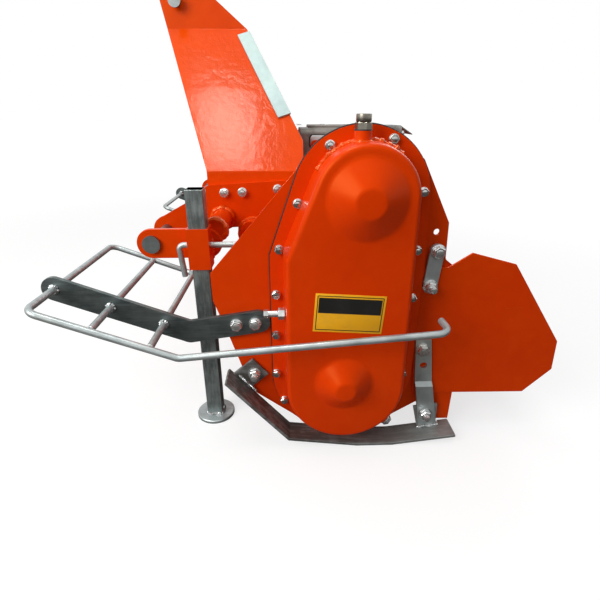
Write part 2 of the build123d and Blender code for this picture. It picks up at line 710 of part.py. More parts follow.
left_tines = []
right_tines = []
for index in range(flange_count):
    middle = flange_y(index)
    for turn in range(tines_per_side):
        start = index * 360 / (2 * tines_per_side * flange_count) * 2
        base = start + turn * 360 / tines_per_side
        left_tines.append(tine(middle - flange_t / 2, -1, base))
        right_tines.append(tine(middle + flange_t / 2, 1, base + 180 / tines_per_side))
write("tines_left_hand", Compound(children=left_tines))
write("tines_right_hand", Compound(children=right_tines))

# ---------------------------------------------------------------- power take-off shaft
spline_count = 6
spline_length = 74.0
pto_tip_x = nose_x - spline_length - 8
pto_shaft = bar_x(pto_tip_x, nose_x - 8, 0, drive_z, pto_r)
pto_shaft += bar_x(nose_x - 8, nose_x + nose_bore - 8, 0, drive_z, pto_bearing_r)
groove_w = 8.6
groove_depth = 2.8
for index in range(spline_count):
    groove = block(pto_tip_x, pto_tip_x + spline_length, -groove_w / 2, groove_w / 2, pto_r - groove_depth, pto_r + 5)
    pto_shaft -= Pos(0, 0, drive_z) * Rot(index * 360 / spline_count, 0, 0) * groove
write("pto_shaft", pto_shaft)

print(len(written), "pieces written")
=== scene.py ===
"""Looks of a compact-tractor rotavator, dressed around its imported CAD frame.

Metres. +X points to the rear, +Y to the right of travel and +Z up. Places on the machine's sides are
written as (dx, dz) from the rotor axis. Depths across the machine come from the frame's own boxes.
"""
from __future__ import annotations

import logging
from dataclasses import dataclass
from enum import Enum
from math import cos, pi, radians, sin
from typing import Callable, Optional, Sequence, Union

import bmesh
import bpy
from mathutils import Matrix, Vector

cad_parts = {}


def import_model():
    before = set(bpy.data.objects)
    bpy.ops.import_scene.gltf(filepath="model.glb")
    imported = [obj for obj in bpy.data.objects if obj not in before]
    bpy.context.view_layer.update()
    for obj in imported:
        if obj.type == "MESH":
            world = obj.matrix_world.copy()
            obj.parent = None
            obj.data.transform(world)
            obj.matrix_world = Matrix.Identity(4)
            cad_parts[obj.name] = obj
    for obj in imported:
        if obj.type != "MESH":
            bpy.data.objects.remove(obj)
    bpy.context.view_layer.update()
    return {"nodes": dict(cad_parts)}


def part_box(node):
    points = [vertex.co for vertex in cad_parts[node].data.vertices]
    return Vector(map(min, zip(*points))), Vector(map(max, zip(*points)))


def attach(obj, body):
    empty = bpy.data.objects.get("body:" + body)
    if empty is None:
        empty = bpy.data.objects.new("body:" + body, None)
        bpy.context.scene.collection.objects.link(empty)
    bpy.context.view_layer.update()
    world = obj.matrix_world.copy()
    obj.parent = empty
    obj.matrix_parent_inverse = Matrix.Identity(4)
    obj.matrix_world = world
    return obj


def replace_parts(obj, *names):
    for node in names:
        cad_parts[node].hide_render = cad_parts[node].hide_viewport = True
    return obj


LOG = logging.getLogger("rotavator")
Colour = tuple[float, float, float]
Place = tuple[float, float]
Triple = tuple[float, float, float]
UP = Vector((0, 0, 1))
REAR = Vector((1, 0, 0))
SQUARE = ((-1, -1), (1, -1), (1, 1), (-1, 1))
EVEN = (1.0, 1.0, 1.0)
WHITE = (1.0, 1.0, 1.0)


class Body(Enum):
    """The moving bodies that a piece can ride on."""

    FRAME = "frame"
    ROTOR = "rotor"
    BOARD = "rear_board"
    STAND = "stand"


class Slot(Enum):
    """The record's material slots."""

    ORANGE = "orange_paint"
    ZINC = "zinc_plate"
    BRIGHT = "bright_zinc"
    PIN = "pin_steel"
    MILL = "bare_steel"
    CASTING = "grey_casting"
    MACHINED = "machined_steel"
    PLASTIC = "black_plastic"
    TINE = "tine_steel"


class Side(Enum):
    """The two sides of the machine, as the sign of Y."""

    LEFT = -1
    RIGHT = 1

    def node(self, stem: str) -> str:
        """Name of this side's node or piece."""
        return f"{stem}_{self.name.lower()}"

    @property
    def out(self) -> Vector:
        """Direction away from the machine's middle."""
        return Vector((0, self.value, 0))


# ------------------------------------------------------------------ shader arithmetic
Operand = Union["Value", float, int]


class Value:
    """A shader socket that takes part in Python arithmetic."""

    def __init__(self, graph: "Graph", socket: bpy.types.NodeSocket) -> None:
        """Wraps a socket of a graph."""
        self.graph = graph
        self.socket = socket

    def _math(self, operation: str, *operands: Operand, clamp: bool = False) -> "Value":
        """One Math node.

        Args:
            operation: the node's operation.
            operands: sockets or plain numbers, in order.
            clamp: whether the result stays between 0 and 1.

        Returns:
            The node's result.
        """
        settings = {"operation": operation, "use_clamp": clamp}
        return self.graph.node("ShaderNodeMath", settings, dict(enumerate(operands)))

    def __add__(self, other: Operand) -> "Value":
        """Value plus operand."""
        return self._math("ADD", self, other)

    def __radd__(self, other: Operand) -> "Value":
        """Number plus value."""
        return self._math("ADD", other, self)

    def __sub__(self, other: Operand) -> "Value":
        """Value minus operand."""
        return self._math("SUBTRACT", self, other)

    def __rsub__(self, other: Operand) -> "Value":
        """Number minus value."""
        return self._math("SUBTRACT", other, self)

    def __mul__(self, other: Operand) -> "Value":
        """Value times operand."""
        return self._math("MULTIPLY", self, other)

    def clamped(self) -> "Value":
        """The value held between 0 and 1."""
        return self._math("ADD", self, 0.0, clamp=True)

    def step(self, low: float, high: float) -> "Value":
        """A smooth step.

        Args:
            low: where the step starts, at 0.
            high: where it ends, at 1.

        Returns:
            0 below low, 1 above high, smooth between them.
        """
        settings = {"interpolation_type": "SMOOTHSTEP"}
        return self.graph.node("ShaderNodeMapRange", settings, {"Value": self, "From Min": low, "From Max": high})


class Graph:
    """The node tree of a material or of the world, filled through one node method."""

    def __init__(self, owner: Union[bpy.types.Material, bpy.types.World]) -> None:
        """Empties the node tree of a material or of the world.

        Args:
            owner: the material or world.
        """
        owner.use_nodes = True
        self.owner = owner
        self.tree = owner.node_tree
        self.tree.nodes.clear()

    @classmethod
    def named(cls, name: str) -> "Graph":
        """Starts a new material's graph."""
        return cls(bpy.data.materials.new(name))

    def node(self, kind: str, settings: dict[str, object], inputs: dict[Union[str, int], object],
             output: Union[str, int] = 0) -> Value:
        """Adds a node.

        Args:
            kind: the node's type.
            settings: its properties, set before its sockets.
            inputs: values or links of its sockets, by name or number.
            output: which output comes back.

        Returns:
            That output.
        """
        made = self.tree.nodes.new(kind)
        for key, setting in settings.items():
            setattr(made, key, setting)
        for key, given in inputs.items():
            socket = made.inputs[key]
            if isinstance(given, Value):
                self.tree.links.new(given.socket, socket)
            elif isinstance(given, tuple) and len(given) == 3 and socket.type == "RGBA":
                socket.default_value = (*given, 1.0)
            else:
                socket.default_value = given
        return Value(self, made.outputs[output])

    def place(self, stretch: Triple = EVEN) -> Value:
        """Object coordinates, stretched along each axis."""
        seat = self.node("ShaderNodeTexCoord", {}, {}, "Object")
        return self.node("ShaderNodeMapping", {}, {"Vector": seat, "Scale": stretch})

    def noise(self, scale: float, detail: float = 2.0, rough: float = 0.5, stretch: Triple = EVEN) -> Value:
        """Noise between 0 and 1.

        Args:
            scale: features per metre.
            detail: octaves.
            rough: share of the finer octaves.
            stretch: scale along each axis.

        Returns:
            The noise value.
        """
        inputs = {"Vector": self.place(stretch), "Scale": scale, "Detail": detail, "Roughness": rough}
        return self.node("ShaderNodeTexNoise", {}, inputs, "Fac")

    def cells(self, scale: float) -> Value:
        """Distance to the nearest of so many points per metre."""
        return self.node("ShaderNodeTexVoronoi", {}, {"Vector": self.place(), "Scale": scale}, "Distance")

    def mix(self, share: Operand, first: Union[Value, Colour], second: Union[Value, Colour]) -> Value:
        """Blends two colours.

        Args:
            share: how much of the second colour.
            first: colour at 0.
            second: colour at 1.

        Returns:
            The blended colour.
        """
        return self.node("ShaderNodeMix", {"data_type": "RGBA"}, {0: share, 6: first, 7: second}, 2)

    def bump(self, height: Value, depth: float, below: Optional[Value] = None) -> Value:
        """Bump from a height field.

        Args:
            height: height between 0 and 1.
            depth: metres between 0 and 1.
            below: a normal that this one adds to.

        Returns:
            The normal.
        """
        inputs: dict[Union[str, int], object] = {"Height": height, "Distance": depth}
        if below is not None:
            inputs["Normal"] = below
        return self.node("ShaderNodeBump", {}, inputs)

    def surface(self, **sockets: object) -> bpy.types.Material:
        """Ends the graph in a Principled shader.

        Args:
            sockets: the shader's inputs, with _ for a space.

        Returns:
            The finished material.
        """
        names = {key.replace("_", " "): given for key, given in sockets.items()}
        return self.close(self.node("ShaderNodeBsdfPrincipled", {}, names), "ShaderNodeOutputMaterial")

    def close(self, shader: Value, kind: str) -> Union[bpy.types.Material, bpy.types.World]:
        """Links a shader to the output node.

        Args:
            shader: what the output shows.
            kind: the output node's type.

        Returns:
            The material or world that the tree belongs to.
        """
        out = self.tree.nodes.new(kind)
        self.tree.links.new(shader.socket, out.inputs["Surface"])
        return self.owner


# ------------------------------------------------------------------ finishes
@dataclass(frozen=True)
class PowderCoat:
    """Glossy powder coat with orange peel, a little dust and faint rub marks.

    Args:
        name: the material's name.
        colour: the paint.
        deep: the paint's darker patches.
        peel: depth of the orange peel, in metres.
        rough: roughness of clean paint.
        gloss: strength of its reflections.
        coat: weight of the clear skin over it.
        glint: colour of its reflections.
        dimples: the orange peel's dimples per metre.
    """

    name: str
    colour: Colour
    deep: Colour
    peel: float = 0.00005
    rough: float = 0.20
    gloss: float = 0.30
    coat: float = 0.06
    glint: Colour = (1.0, 0.42, 0.10)
    dimples: float = 430.0

    def build(self) -> bpy.types.Material:
        """Makes the material."""
        graph = Graph.named(self.name)
        tone = graph.noise(5.0, 3.0, 0.55)
        mottle = graph.noise(38.0, 3.0, 0.6)
        colour = graph.mix((tone * 0.55 + mottle * 0.25).step(0.25, 0.62), self.deep, self.colour)
        dust = graph.noise(14.0, 5.0, 0.65).step(0.55, 0.8) * 0.025
        dusty = (0.66, 0.30, 0.12)
        rub = graph.noise(26.0, 4.0, 0.6, (1.0, 1.0, 5.0)).step(0.5, 0.75)
        peel = graph.noise(self.dimples, 1.0, 0.4) * 0.75 + graph.noise(3 * self.dimples, 1.0, 0.5) * 0.25
        wave = graph.noise(60.0, 1.0, 0.4)
        tint = (*self.glint, 1.0)
        return graph.surface(
            Base_Color=graph.mix(dust, colour, dusty), Roughness=self.rough + rub * 0.08 + dust * 2.5,
            Normal=graph.bump(peel, self.peel, graph.bump(wave, self.peel * 2.2)),
            Specular_IOR_Level=self.gloss, Specular_Tint=tint, Coat_Weight=self.coat, Coat_Tint=tint,
            Coat_Roughness=0.08)


@dataclass(frozen=True)
class ZincPlate:
    """Electroplated steel: satin grey, drawn streaks, cloudy patches and small specks.

    Args:
        name: the material's name.
        light: colour of the lighter patches.
        dark: colour of the darker ones.
        rough: roughness of the plating.
        streak: stretch of the streaks along each axis.
        speck: strength of the specks.
        grain: depth of the grain, in metres.
        metal: how metallic it is.
        spread: half the width of the step between light and dark.
    """

    name: str
    light: Colour
    dark: Colour
    rough: float
    streak: Triple = EVEN
    speck: float = 0.25
    grain: float = 0.00004
    metal: float = 1.0
    spread: float = 0.16

    def build(self) -> bpy.types.Material:
        """Makes the material."""
        graph = Graph.named(self.name)
        drawn = graph.noise(90.0, 3.0, 0.6, self.streak)
        patches = graph.noise(17.0, 4.0, 0.6) * 0.6 + drawn * 0.4
        share = patches.step(0.5 - self.spread, 0.5 + self.spread)
        yellowed = tuple(part * tint for part, tint in zip(self.light, (1.02, 0.97, 0.86)))
        warmth = graph.noise(8.0, 2.0, 0.5).step(0.5, 0.75) * 0.30
        colour = graph.mix(warmth, graph.mix(share, self.dark, self.light), yellowed)
        specks = graph.noise(420.0, 2.0, 0.7).step(0.62, 0.74) * self.speck
        pale = (0.83, 0.84, 0.82)
        return graph.surface(
            Base_Color=graph.mix(specks, colour, pale), Metallic=self.metal,
            Normal=graph.bump(graph.noise(700.0, 3.0, 0.6, self.streak), self.grain),
            Roughness=self.rough + drawn * 0.14 + specks * 0.2 - share * 0.05)


@dataclass(frozen=True)
class MillSteel:
    """Bare hot-rolled sheet: dark scale, lighter scuffs, a hint of rust, and lighter and greyer towards its rear.
    """

    name: str
    scale: Colour
    scuff: Colour
    rust: Colour = (0.16, 0.085, 0.05)
    rear_tone: Colour = (0.34, 0.37, 0.36)
    rear_tone_from: float = -0.05
    rear_tone_to: float = 0.22
    rough: float = 0.38

    def build(self) -> bpy.types.Material:
        """Makes the material."""
        graph = Graph.named(self.name)
        cloud = graph.noise(24.0, 5.0, 0.65)
        scratch = graph.noise(60.0, 4.0, 0.7, (0.22, 3.0, 1.0))
        colour = graph.mix((cloud * 0.5 + scratch * 0.5).step(0.42, 0.66), self.scale, self.scuff)
        along = graph.node("ShaderNodeSeparateXYZ", {}, {"Vector": graph.place()}, "X")
        # lighter and greyer towards the rear, by position along X alone
        colour = graph.mix(along.step(self.rear_tone_from, self.rear_tone_to) * 0.55, colour, self.rear_tone)
        rust = graph.noise(46.0, 5.0, 0.7).step(0.64, 0.80) * 0.35
        pits = graph.noise(900.0, 3.0, 0.7)
        return graph.surface(
            Base_Color=graph.mix(rust, colour, self.rust), Metallic=0.4 - rust,
            Normal=graph.bump(pits * 0.6 + scratch * 0.4, 0.00006),
            Roughness=self.rough + rust * 0.5 + cloud * 0.16)


@dataclass(frozen=True)
class Casting:
    """Sand-cast housing under aluminium-grey paint: a fine pebbled skin."""

    name: str
    colour: Colour
    shade: Colour
    metal: float = 0.55
    rough: float = 0.42

    def build(self) -> bpy.types.Material:
        """Makes the material."""
        graph = Graph.named(self.name)
        cloud = graph.noise(20.0, 4.0, 0.6)
        sand = graph.noise(520.0, 3.0, 0.6) * 0.7 + graph.noise(120.0, 2.0, 0.5) * 0.3
        return graph.surface(
            Base_Color=graph.mix(cloud.step(0.35, 0.68), self.shade, self.colour), Metallic=self.metal,
            Normal=graph.bump(sand, 0.00025), Roughness=self.rough + cloud * 0.15)


@dataclass(frozen=True)
class Moulded:
    """Moulded black plastic with a fine leathery grain."""

    name: str
    colour: Colour
    rough: float = 0.45

    def build(self) -> bpy.types.Material:
        """Makes the material."""
        graph = Graph.named(self.name)
        cloud = graph.noise(11.0, 3.0, 0.6)
        pale = tuple(0.6 * part + 0.035 for part in self.colour)
        grain = graph.cells(850.0) * 0.6 + graph.noise(1500.0, 2.0) * 0.4
        return graph.surface(
            Base_Color=graph.mix(cloud.step(0.4, 0.75) * 0.5, self.colour, pale),
            Normal=graph.bump(grain, 0.00008), Roughness=self.rough + cloud * 0.12, Specular_IOR_Level=0.45)


@dataclass(frozen=True)
class Foil:
    """Printed adhesive foil: even colour, faint wrinkles and dulled patches."""

    name: str
    colour: Colour
    rough: float = 0.34

    def build(self) -> bpy.types.Material:
        """Makes the material."""
        graph = Graph.named(self.name)
        fade = graph.noise(40.0, 4.0, 0.6)
        worn = tuple(0.90 * part + 0.008 for part in self.colour)
        return graph.surface(
            Base_Color=graph.mix(fade.step(0.45, 0.75), self.colour, worn),
            Normal=graph.bump(graph.noise(150.0, 2.0, 0.5), 0.00008), Roughness=self.rough + fade * 0.12)


@dataclass(frozen=True)
class StudioFloor:
    """Pale floor that shows the object's soft shadow and is white where nothing shades it.

    Args:
        name: the material's name.
        near: glow beside the object, where the lamps reach.
        far: glow far from the object, where they don't.
    """

    name: str
    near: float = 0.72
    far: float = 0.97

    def build(self) -> bpy.types.Material:
        """Makes the material."""
        graph = Graph.named(self.name)
        seat = graph.node("ShaderNodeTexCoord", {}, {}, "Object")
        reach = graph.node("ShaderNodeVectorMath", {"operation": "LENGTH"}, {0: seat}, "Value")
        glow = self.near + reach.step(0.9, 4.5) * (self.far - self.near)
        matt = graph.node("ShaderNodeBsdfDiffuse", {}, {"Color": (0.32, 0.32, 0.32)})
        seen = {"Color": WHITE, "Strength": seen_directly(graph) * glow}
        bright = graph.node("ShaderNodeEmission", {}, seen)
        return graph.close(graph.node("ShaderNodeAddShader", {}, {0: matt, 1: bright}), "ShaderNodeOutputMaterial")


def seen_directly(graph: Graph) -> Value:
    """A mask for what the eye, a reflection or glass shows.

    Args:
        graph: the tree of a material or of the world.

    Returns:
        1 on camera, glossy and transmission rays, and 0 on the rays that light the object.
    """
    camera, glossy, through = (
        graph.node("ShaderNodeLightPath", {}, {}, f"Is {kind} Ray")
        for kind in ("Camera", "Glossy", "Transmission"))
    return (camera + glossy + through).clamped()


Look = Union[PowderCoat, ZincPlate, MillSteel, Casting, Moulded, Foil]
ALONG_X = (0.3, 1.0, 1.0)      # streaks drawn out along X
ALONG_Z = (1.0, 1.0, 0.4)      # streaks drawn out along Z


class Finish(Enum):
    """Every finish on the machine, each made once, with a slot of the record."""

    ORANGE = PowderCoat("orange_powder_coat", (0.80, 0.060, 0.0010), (0.72, 0.044, 0.0008)), Slot.ORANGE
    PRESSED = PowderCoat(
        "orange_pressing", (0.80, 0.052, 0.0010), (0.73, 0.040, 0.0008), peel=0.00004, rough=0.30,
        coat=0.0), Slot.ORANGE
    # The mast's paint is written lighter and yellower than ORANGE: painted light, for the bright sky that its
    # leaning plate reflects.
    MAST = PowderCoat(
        "orange_mast_painted_light", (0.84, 0.078, 0.0020), (0.78, 0.062, 0.0015), peel=0.00034, rough=0.08, gloss=0.12,
        glint=(1.0, 0.90, 0.74), dimples=300.0), Slot.ORANGE
    # Paint on the welds is written lighter and yellower than ORANGE: painted highlight, for the light that the
    # weld's lumps catch.
    WELD_PAINT = PowderCoat(
        "orange_on_weld_painted_highlight", (0.84, 0.10, 0.004), (0.70, 0.055, 0.001), peel=0.00022, gloss=0.6, coat=0.1,
        glint=(1.0, 0.66, 0.30)), Slot.ORANGE
    # The flat bar's zinc is written far darker than the other zinc: painted dark reflection, for the shaded ground
    # that its upright face looks at.
    CARRIER = ZincPlate(
        "zinc_on_flat_bar_painted_dark", (0.19, 0.225, 0.225), (0.085, 0.11, 0.11), 0.36, streak=(0.25, 1.0, 2.5),
        speck=0.06, metal=0.85), Slot.ZINC
    ROD = ZincPlate(
        "zinc_on_rod", (0.51, 0.565, 0.57), (0.32, 0.36, 0.365), 0.34, streak=ALONG_X, speck=0.10,
        metal=0.58), Slot.ZINC
    LEG = ZincPlate(
        "zinc_on_square_tube", (0.34, 0.395, 0.39), (0.13, 0.155, 0.15), 0.30, streak=(3.0, 3.0, 0.35),
        speck=0.40, metal=0.6, spread=0.15), Slot.ZINC
    STRAP = ZincPlate(
        "zinc_on_strap", (0.50, 0.56, 0.56), (0.36, 0.405, 0.405), 0.38, streak=ALONG_Z, speck=0.06,
        metal=0.6), Slot.ZINC
    WHITE_STRAP = ZincPlate(
        "zinc_on_mast_strap", (0.46, 0.60, 0.585), (0.38, 0.50, 0.49), 0.42, streak=ALONG_Z, speck=0.05,
        metal=0.15), Slot.ZINC
    BOLT = ZincPlate(
        "zinc_on_bolts", (0.84, 0.87, 0.86), (0.50, 0.52, 0.52), 0.18, speck=0.2, metal=0.85), Slot.BRIGHT
    DARK_BOLT = ZincPlate(
        "zinc_on_case_bolts", (0.86, 0.87, 0.86), (0.34, 0.335, 0.33), 0.13, speck=0.3), Slot.BRIGHT
    PLUG = ZincPlate("zinc_on_plugs", (0.30, 0.28, 0.235), (0.15, 0.14, 0.12), 0.30, speck=0.12), Slot.BRIGHT
    PIN = ZincPlate("plated_pin", (0.30, 0.33, 0.33), (0.20, 0.225, 0.225), 0.36, speck=0.06), Slot.PIN
    WELD_ZINC = ZincPlate(
        "zinc_on_weld", (0.66, 0.68, 0.68), (0.34, 0.36, 0.36), 0.24, speck=0.4, grain=0.00012), Slot.ZINC
    MACHINED = ZincPlate(
        "machined_shaft", (0.50, 0.50, 0.49), (0.36, 0.36, 0.36), 0.24, streak=(3.0, 1.0, 1.0),
        speck=0.05), Slot.MACHINED
    MILL = MillSteel("mill_scale_sheet", (0.100, 0.096, 0.088), (0.30, 0.315, 0.310)), Slot.MILL
    CASTING = Casting("silver_casting", (0.27, 0.25, 0.225), (0.115, 0.105, 0.092)), Slot.CASTING
    COVER = Casting("bright_casting", (0.62, 0.63, 0.62), (0.42, 0.43, 0.43), metal=0.6, rough=0.36), Slot.CASTING
    TINE = PowderCoat(
        "black_tine_paint", (0.020, 0.020, 0.022), (0.012, 0.012, 0.013), peel=0.00012, rough=0.34,
        coat=0.05), Slot.TINE
    PLASTIC = Moulded("black_guard_plastic", (0.018, 0.018, 0.019)), Slot.PLASTIC
    SEAL = Moulded("black_sealant", (0.010, 0.010, 0.010), rough=0.5), Slot.PLASTIC
    FOIL = Foil("yellow_foil", (1.0, 0.49, 0.006), rough=0.30), Slot.ORANGE
    FOIL_INK = Foil("black_foil_ink", (0.010, 0.010, 0.009)), Slot.PLASTIC

    def __init__(self, look: Look, slot: Slot) -> None:
        """Takes a member's look and slot apart."""
        self.look = look
        self.slot = slot

    @property
    def material(self) -> bpy.types.Material:
        """The finish's material, made on first use."""
        known = bpy.data.materials.get(self.look.name)
        return known if known is not None else self.look.build()


# ------------------------------------------------------------------ mesh work
@dataclass(frozen=True)
class BoltSize:
    """A hexagon bolt or nut.

    Args:
        across: width across flats.
        head: height of the head or nut.
        washer: washer's outer radius.
        washer_t: washer's thickness.
    """

    across: float
    head: float = 0.0
    washer: float = 0.0
    washer_t: float = 0.0018

    @property
    def corner(self) -> float:
        """Radius to the hexagon's corners."""
        return self.across / 2 / cos(pi / 6)

    @property
    def thread(self) -> float:
        """Radius of the thread."""
        return self.across * 0.31


M8 = BoltSize(0.0134, 0.0058, 0.0082, 0.0014)
M10 = BoltSize(0.0160, 0.0068, 0.0100)
M12 = BoltSize(0.0180, 0.0078, 0.0118, 0.0022)
M14 = BoltSize(0.0195, 0.0085, 0.0132, 0.0024)


def new_object(name: str, bm: bmesh.types.BMesh, material: bpy.types.Material,
               crease: Optional[float] = None) -> bpy.types.Object:
    """Puts a finished mesh into the scene.

    Args:
        name: the object's name.
        bm: its shape, which is freed.
        material: its material.
        crease: edges sharper than this many degrees stay sharp. Without it the faces are flat.

    Returns:
        The object.
    """
    mesh = bpy.data.meshes.new(name)
    bm.to_mesh(mesh)
    bm.free()
    if crease is not None:
        mesh.shade_smooth()
        mesh.set_sharp_from_angle(angle=radians(crease))
    mesh.materials.append(material)
    made = bpy.data.objects.new(name, mesh)
    bpy.context.scene.collection.objects.link(made)
    return made


def seat_piece(piece: bpy.types.Object, body: Body, slot: Slot) -> None:
    """Lets a piece ride on its body."""
    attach(piece, body.value)


class Shape:
    """A mesh in the making. Every method adds to it."""

    crease = 38.0

    def __init__(self) -> None:
        """Starts an empty mesh."""
        self.bm = bmesh.new()

    def _aim(self, start: Vector, axis: Vector, turn: float = 0.0) -> Matrix:
        """The matrix that stands local Z along the axis at the start, turned about it."""
        stand = UP.rotation_difference(axis.normalized()).to_matrix().to_4x4()
        return Matrix.Translation(start) @ stand @ Matrix.Rotation(turn, 4, "Z")

    def _round(self, edges: Sequence[bmesh.types.BMEdge], width: float) -> list[bmesh.types.BMVert]:
        """Rounds edges and returns the new vertices."""
        return bmesh.ops.bevel(self.bm, geom=edges, offset=width, offset_type="OFFSET", segments=2, profile=0.5,
                               affect="EDGES", material=-1, clamp_overlap=True)["verts"]

    def drum(self, start: Vector, axis: Vector, radius: float, length: float, sides: int = 28,
             rim: float = 0.0, turn: float = 0.0) -> list[bmesh.types.BMVert]:
        """A round or many-sided bar.

        Args:
            start: middle of its first end.
            axis: the way it grows.
            radius: radius to its corners.
            length: its length.
            sides: how many sides, not 4.
            rim: bevel of both rims.
            turn: turn about its axis.

        Returns:
            Its vertices.
        """
        seat = self._aim(start, axis, turn) @ Matrix.Translation((0, 0, length / 2))
        made = bmesh.ops.create_cone(self.bm, cap_ends=True, segments=sides, radius1=radius, radius2=radius,
                                     depth=length, matrix=seat)["verts"]
        if rim > 0:
            caps = {face for vert in made for face in vert.link_faces if len(face.verts) == sides}
            made = self._round([edge for face in caps for edge in face.edges], rim)
        return made

    def ring(self, centre: Vector, axis: Vector, radius: float, wire: float, sides: int,
             ripple: float = 0.0) -> None:
        """A round bead or wire ring.

        Args:
            centre: middle of the ring.
            axis: the ring's axis.
            radius: radius of its centre line.
            wire: radius of the wire.
            sides: steps round the ring.
            ripple: how lumpy the bead is, as a share of the wire's radius.
        """
        cross = self._aim(centre, axis) @ Matrix.Translation((radius, 0, 0)) @ Matrix.Rotation(pi / 2, 4, "X")
        loop = bmesh.ops.create_circle(self.bm, cap_ends=False, segments=8, radius=wire, matrix=cross)["verts"]
        edges = list({edge for vert in loop for edge in vert.link_edges})
        before = set(self.bm.verts) - set(loop)
        bmesh.ops.spin(self.bm, geom=loop + edges, cent=centre, axis=axis.normalized(), dvec=(0, 0, 0),
                       angle=2 * pi, space=Matrix.Identity(4), steps=sides, use_merge=True, use_duplicate=False)
        if ripple > 0:
            made = [vert for vert in self.bm.verts if vert not in before]
            self._ripple(made, centre, axis.normalized(), radius, ripple)

    @staticmethod
    def _ripple(verts: Sequence[bmesh.types.BMVert], centre: Vector, axis: Vector, radius: float,
                ripple: float) -> None:
        """Gives a round bead its overlapping ripples.

        Args:
            verts: its vertices.
            centre: middle of the ring.
            axis: the ring's axis, one long.
            radius: radius of its centre line.
            ripple: how lumpy it is.
        """
        start = Vector((1.0, 0.3, 0.2))     # where the bead's length is counted from
        fine, coarse, shift = 2300, 871, 90     # radians per metre
        for vert in verts:
            arm = vert.co - centre
            flat = arm - axis * arm.dot(axis)
            spine = centre + flat.normalized() * radius
            along = flat.angle(start) * radius
            size = 1 + ripple * sin(along * fine) + 0.5 * ripple * sin(along * coarse + centre.x * shift)
            vert.co = spine + (vert.co - spine) * size

    def rod(self, points: Sequence[Vector], wire: Callable[[float], float]) -> None:
        """A round rod or bead through points.

        Args:
            points: its centre line.
            wire: radius at a distance along it.
        """
        travelled = 0.0
        heading = (points[1] - points[0]).normalized()
        seat = self._aim(points[0], heading)
        start = bmesh.ops.create_circle(self.bm, cap_ends=True, segments=8, radius=wire(0.0), matrix=seat)["verts"]
        rim = list({edge for vert in start for edge in vert.link_edges})
        for index in range(1, len(points)):
            here = points[index]
            ahead = points[min(index + 1, len(points) - 1)] - points[index - 1]
            turn = heading.rotation_difference(ahead.normalized())
            before = wire(travelled)
            travelled += (here - points[index - 1]).length
            grown = bmesh.ops.extrude_edge_only(self.bm, edges=rim)["geom"]
            verts = [item for item in grown if isinstance(item, bmesh.types.BMVert)]
            rim = [item for item in grown if isinstance(item, bmesh.types.BMEdge)]
            bmesh.ops.translate(self.bm, verts=verts, vec=here - points[index - 1])
            bmesh.ops.rotate(self.bm, verts=verts, cent=here, matrix=turn.to_matrix())
            bmesh.ops.scale(self.bm, verts=verts, vec=Vector((1, 1, 1)) * (wire(travelled) / before),
                            space=Matrix.Translation(-here))
            heading = ahead.normalized()
        bmesh.ops.edgeloop_fill(self.bm, edges=rim)

    def bead(self, first: Vector, last: Vector, wire: float) -> None:
        """A straight weld bead with ripples, thinner at its ends.

        Args:
            first: one end.
            last: the other end.
            wire: its radius.
        """
        run = (last - first).length
        steps = max(6, int(run / 0.0016))
        tip, taper = 0.35, 0.5      # share of the radius at its very ends, and how fast that grows
        lump, pace, shift = 0.20, 2100, 70      # height and pace of the ripples, and where they start

        def radius(travelled: float) -> float:
            """Its radius at a distance along it."""
            ends = min(1.0, tip + min(travelled, run - travelled) / wire * taper)
            return wire * ends * (1 + lump * sin(travelled * pace + first.x * shift))

        self.rod([first.lerp(last, step / steps) for step in range(steps + 1)], radius)

    def hexagon(self, start: Vector, axis: Vector, size: BoltSize, height: float, turn: float) -> None:
        """A hexagon with a chamfered outer end.

        Args:
            start: middle of its seat.
            axis: outwards.
            size: the bolt's size.
            height: its height.
            turn: turn about its axis.
        """
        cut = height * 0.14
        made = self.drum(start, axis, size.corner, height - cut, 6, 0.0, turn)
        ends = {face for vert in made for face in vert.link_faces if len(face.verts) == 6}
        top = [face for face in ends if face.normal.dot(axis) > 0.9]
        bmesh.ops.inset_region(self.bm, faces=top, thickness=size.corner * 0.11, depth=cut, use_even_offset=True)

    def washer(self, start: Vector, axis: Vector, size: BoltSize) -> Vector:
        """A washer, and the point on top of it."""
        self.drum(start, axis, size.washer, size.washer_t, 28, size.washer_t * 0.22)
        return start + axis * size.washer_t

    def bolt(self, start: Vector, axis: Vector, size: BoltSize, turn: float) -> None:
        """A bolt head on its washer, with a collar under it and a low crown on it.

        Args:
            start: point on the surface under the washer.
            axis: outwards.
            size: the bolt's size.
            turn: how far the head is turned.
        """
        collar, sunk = 0.0010, 0.0004
        seat = self.washer(start, axis, size)
        self.drum(seat, axis, size.corner * 0.98, 0.0012, 24, 0.0003)
        self.hexagon(seat + axis * collar, axis, size, size.head, turn)
        crown = seat + axis * (size.head + collar)
        self.drum(crown - axis * sunk, axis, size.across * 0.33, 2 * sunk, 20, 0.0003)

    def bolt_circle(self, centre: Vector, axis: Vector, radius: float, turn: float) -> None:
        """Four M8 bolts round a point on a face that looks to one side.

        Args:
            centre: the circle's middle.
            axis: outwards.
            radius: the circle's radius.
            turn: how much further each head is turned than the last.
        """
        for index in range(4):
            angle = pi / 4 + index * pi / 2
            seat = Vector((centre.x + radius * cos(angle), centre.y, centre.z + radius * sin(angle)))
            self.bolt(seat, axis, M8, turn * index)

    def button(self, start: Vector, axis: Vector, radius: float, height: float) -> None:
        """A low screw head with a round socket.

        Args:
            start: point on the surface under the head.
            axis: outwards.
            radius: the head's radius.
            height: its height.
        """
        made = self.drum(start, axis, radius, height, 24, height * 0.4)
        faces = {item for vert in made for item in vert.link_faces}
        top = [face for face in faces if face.normal.dot(axis) > 0.99]
        for share, sunk in ((0.35, 0.0), (0.04, 0.7)):
            bmesh.ops.inset_region(self.bm, faces=top, thickness=radius * share, depth=-height * sunk,
                                   use_even_offset=True)

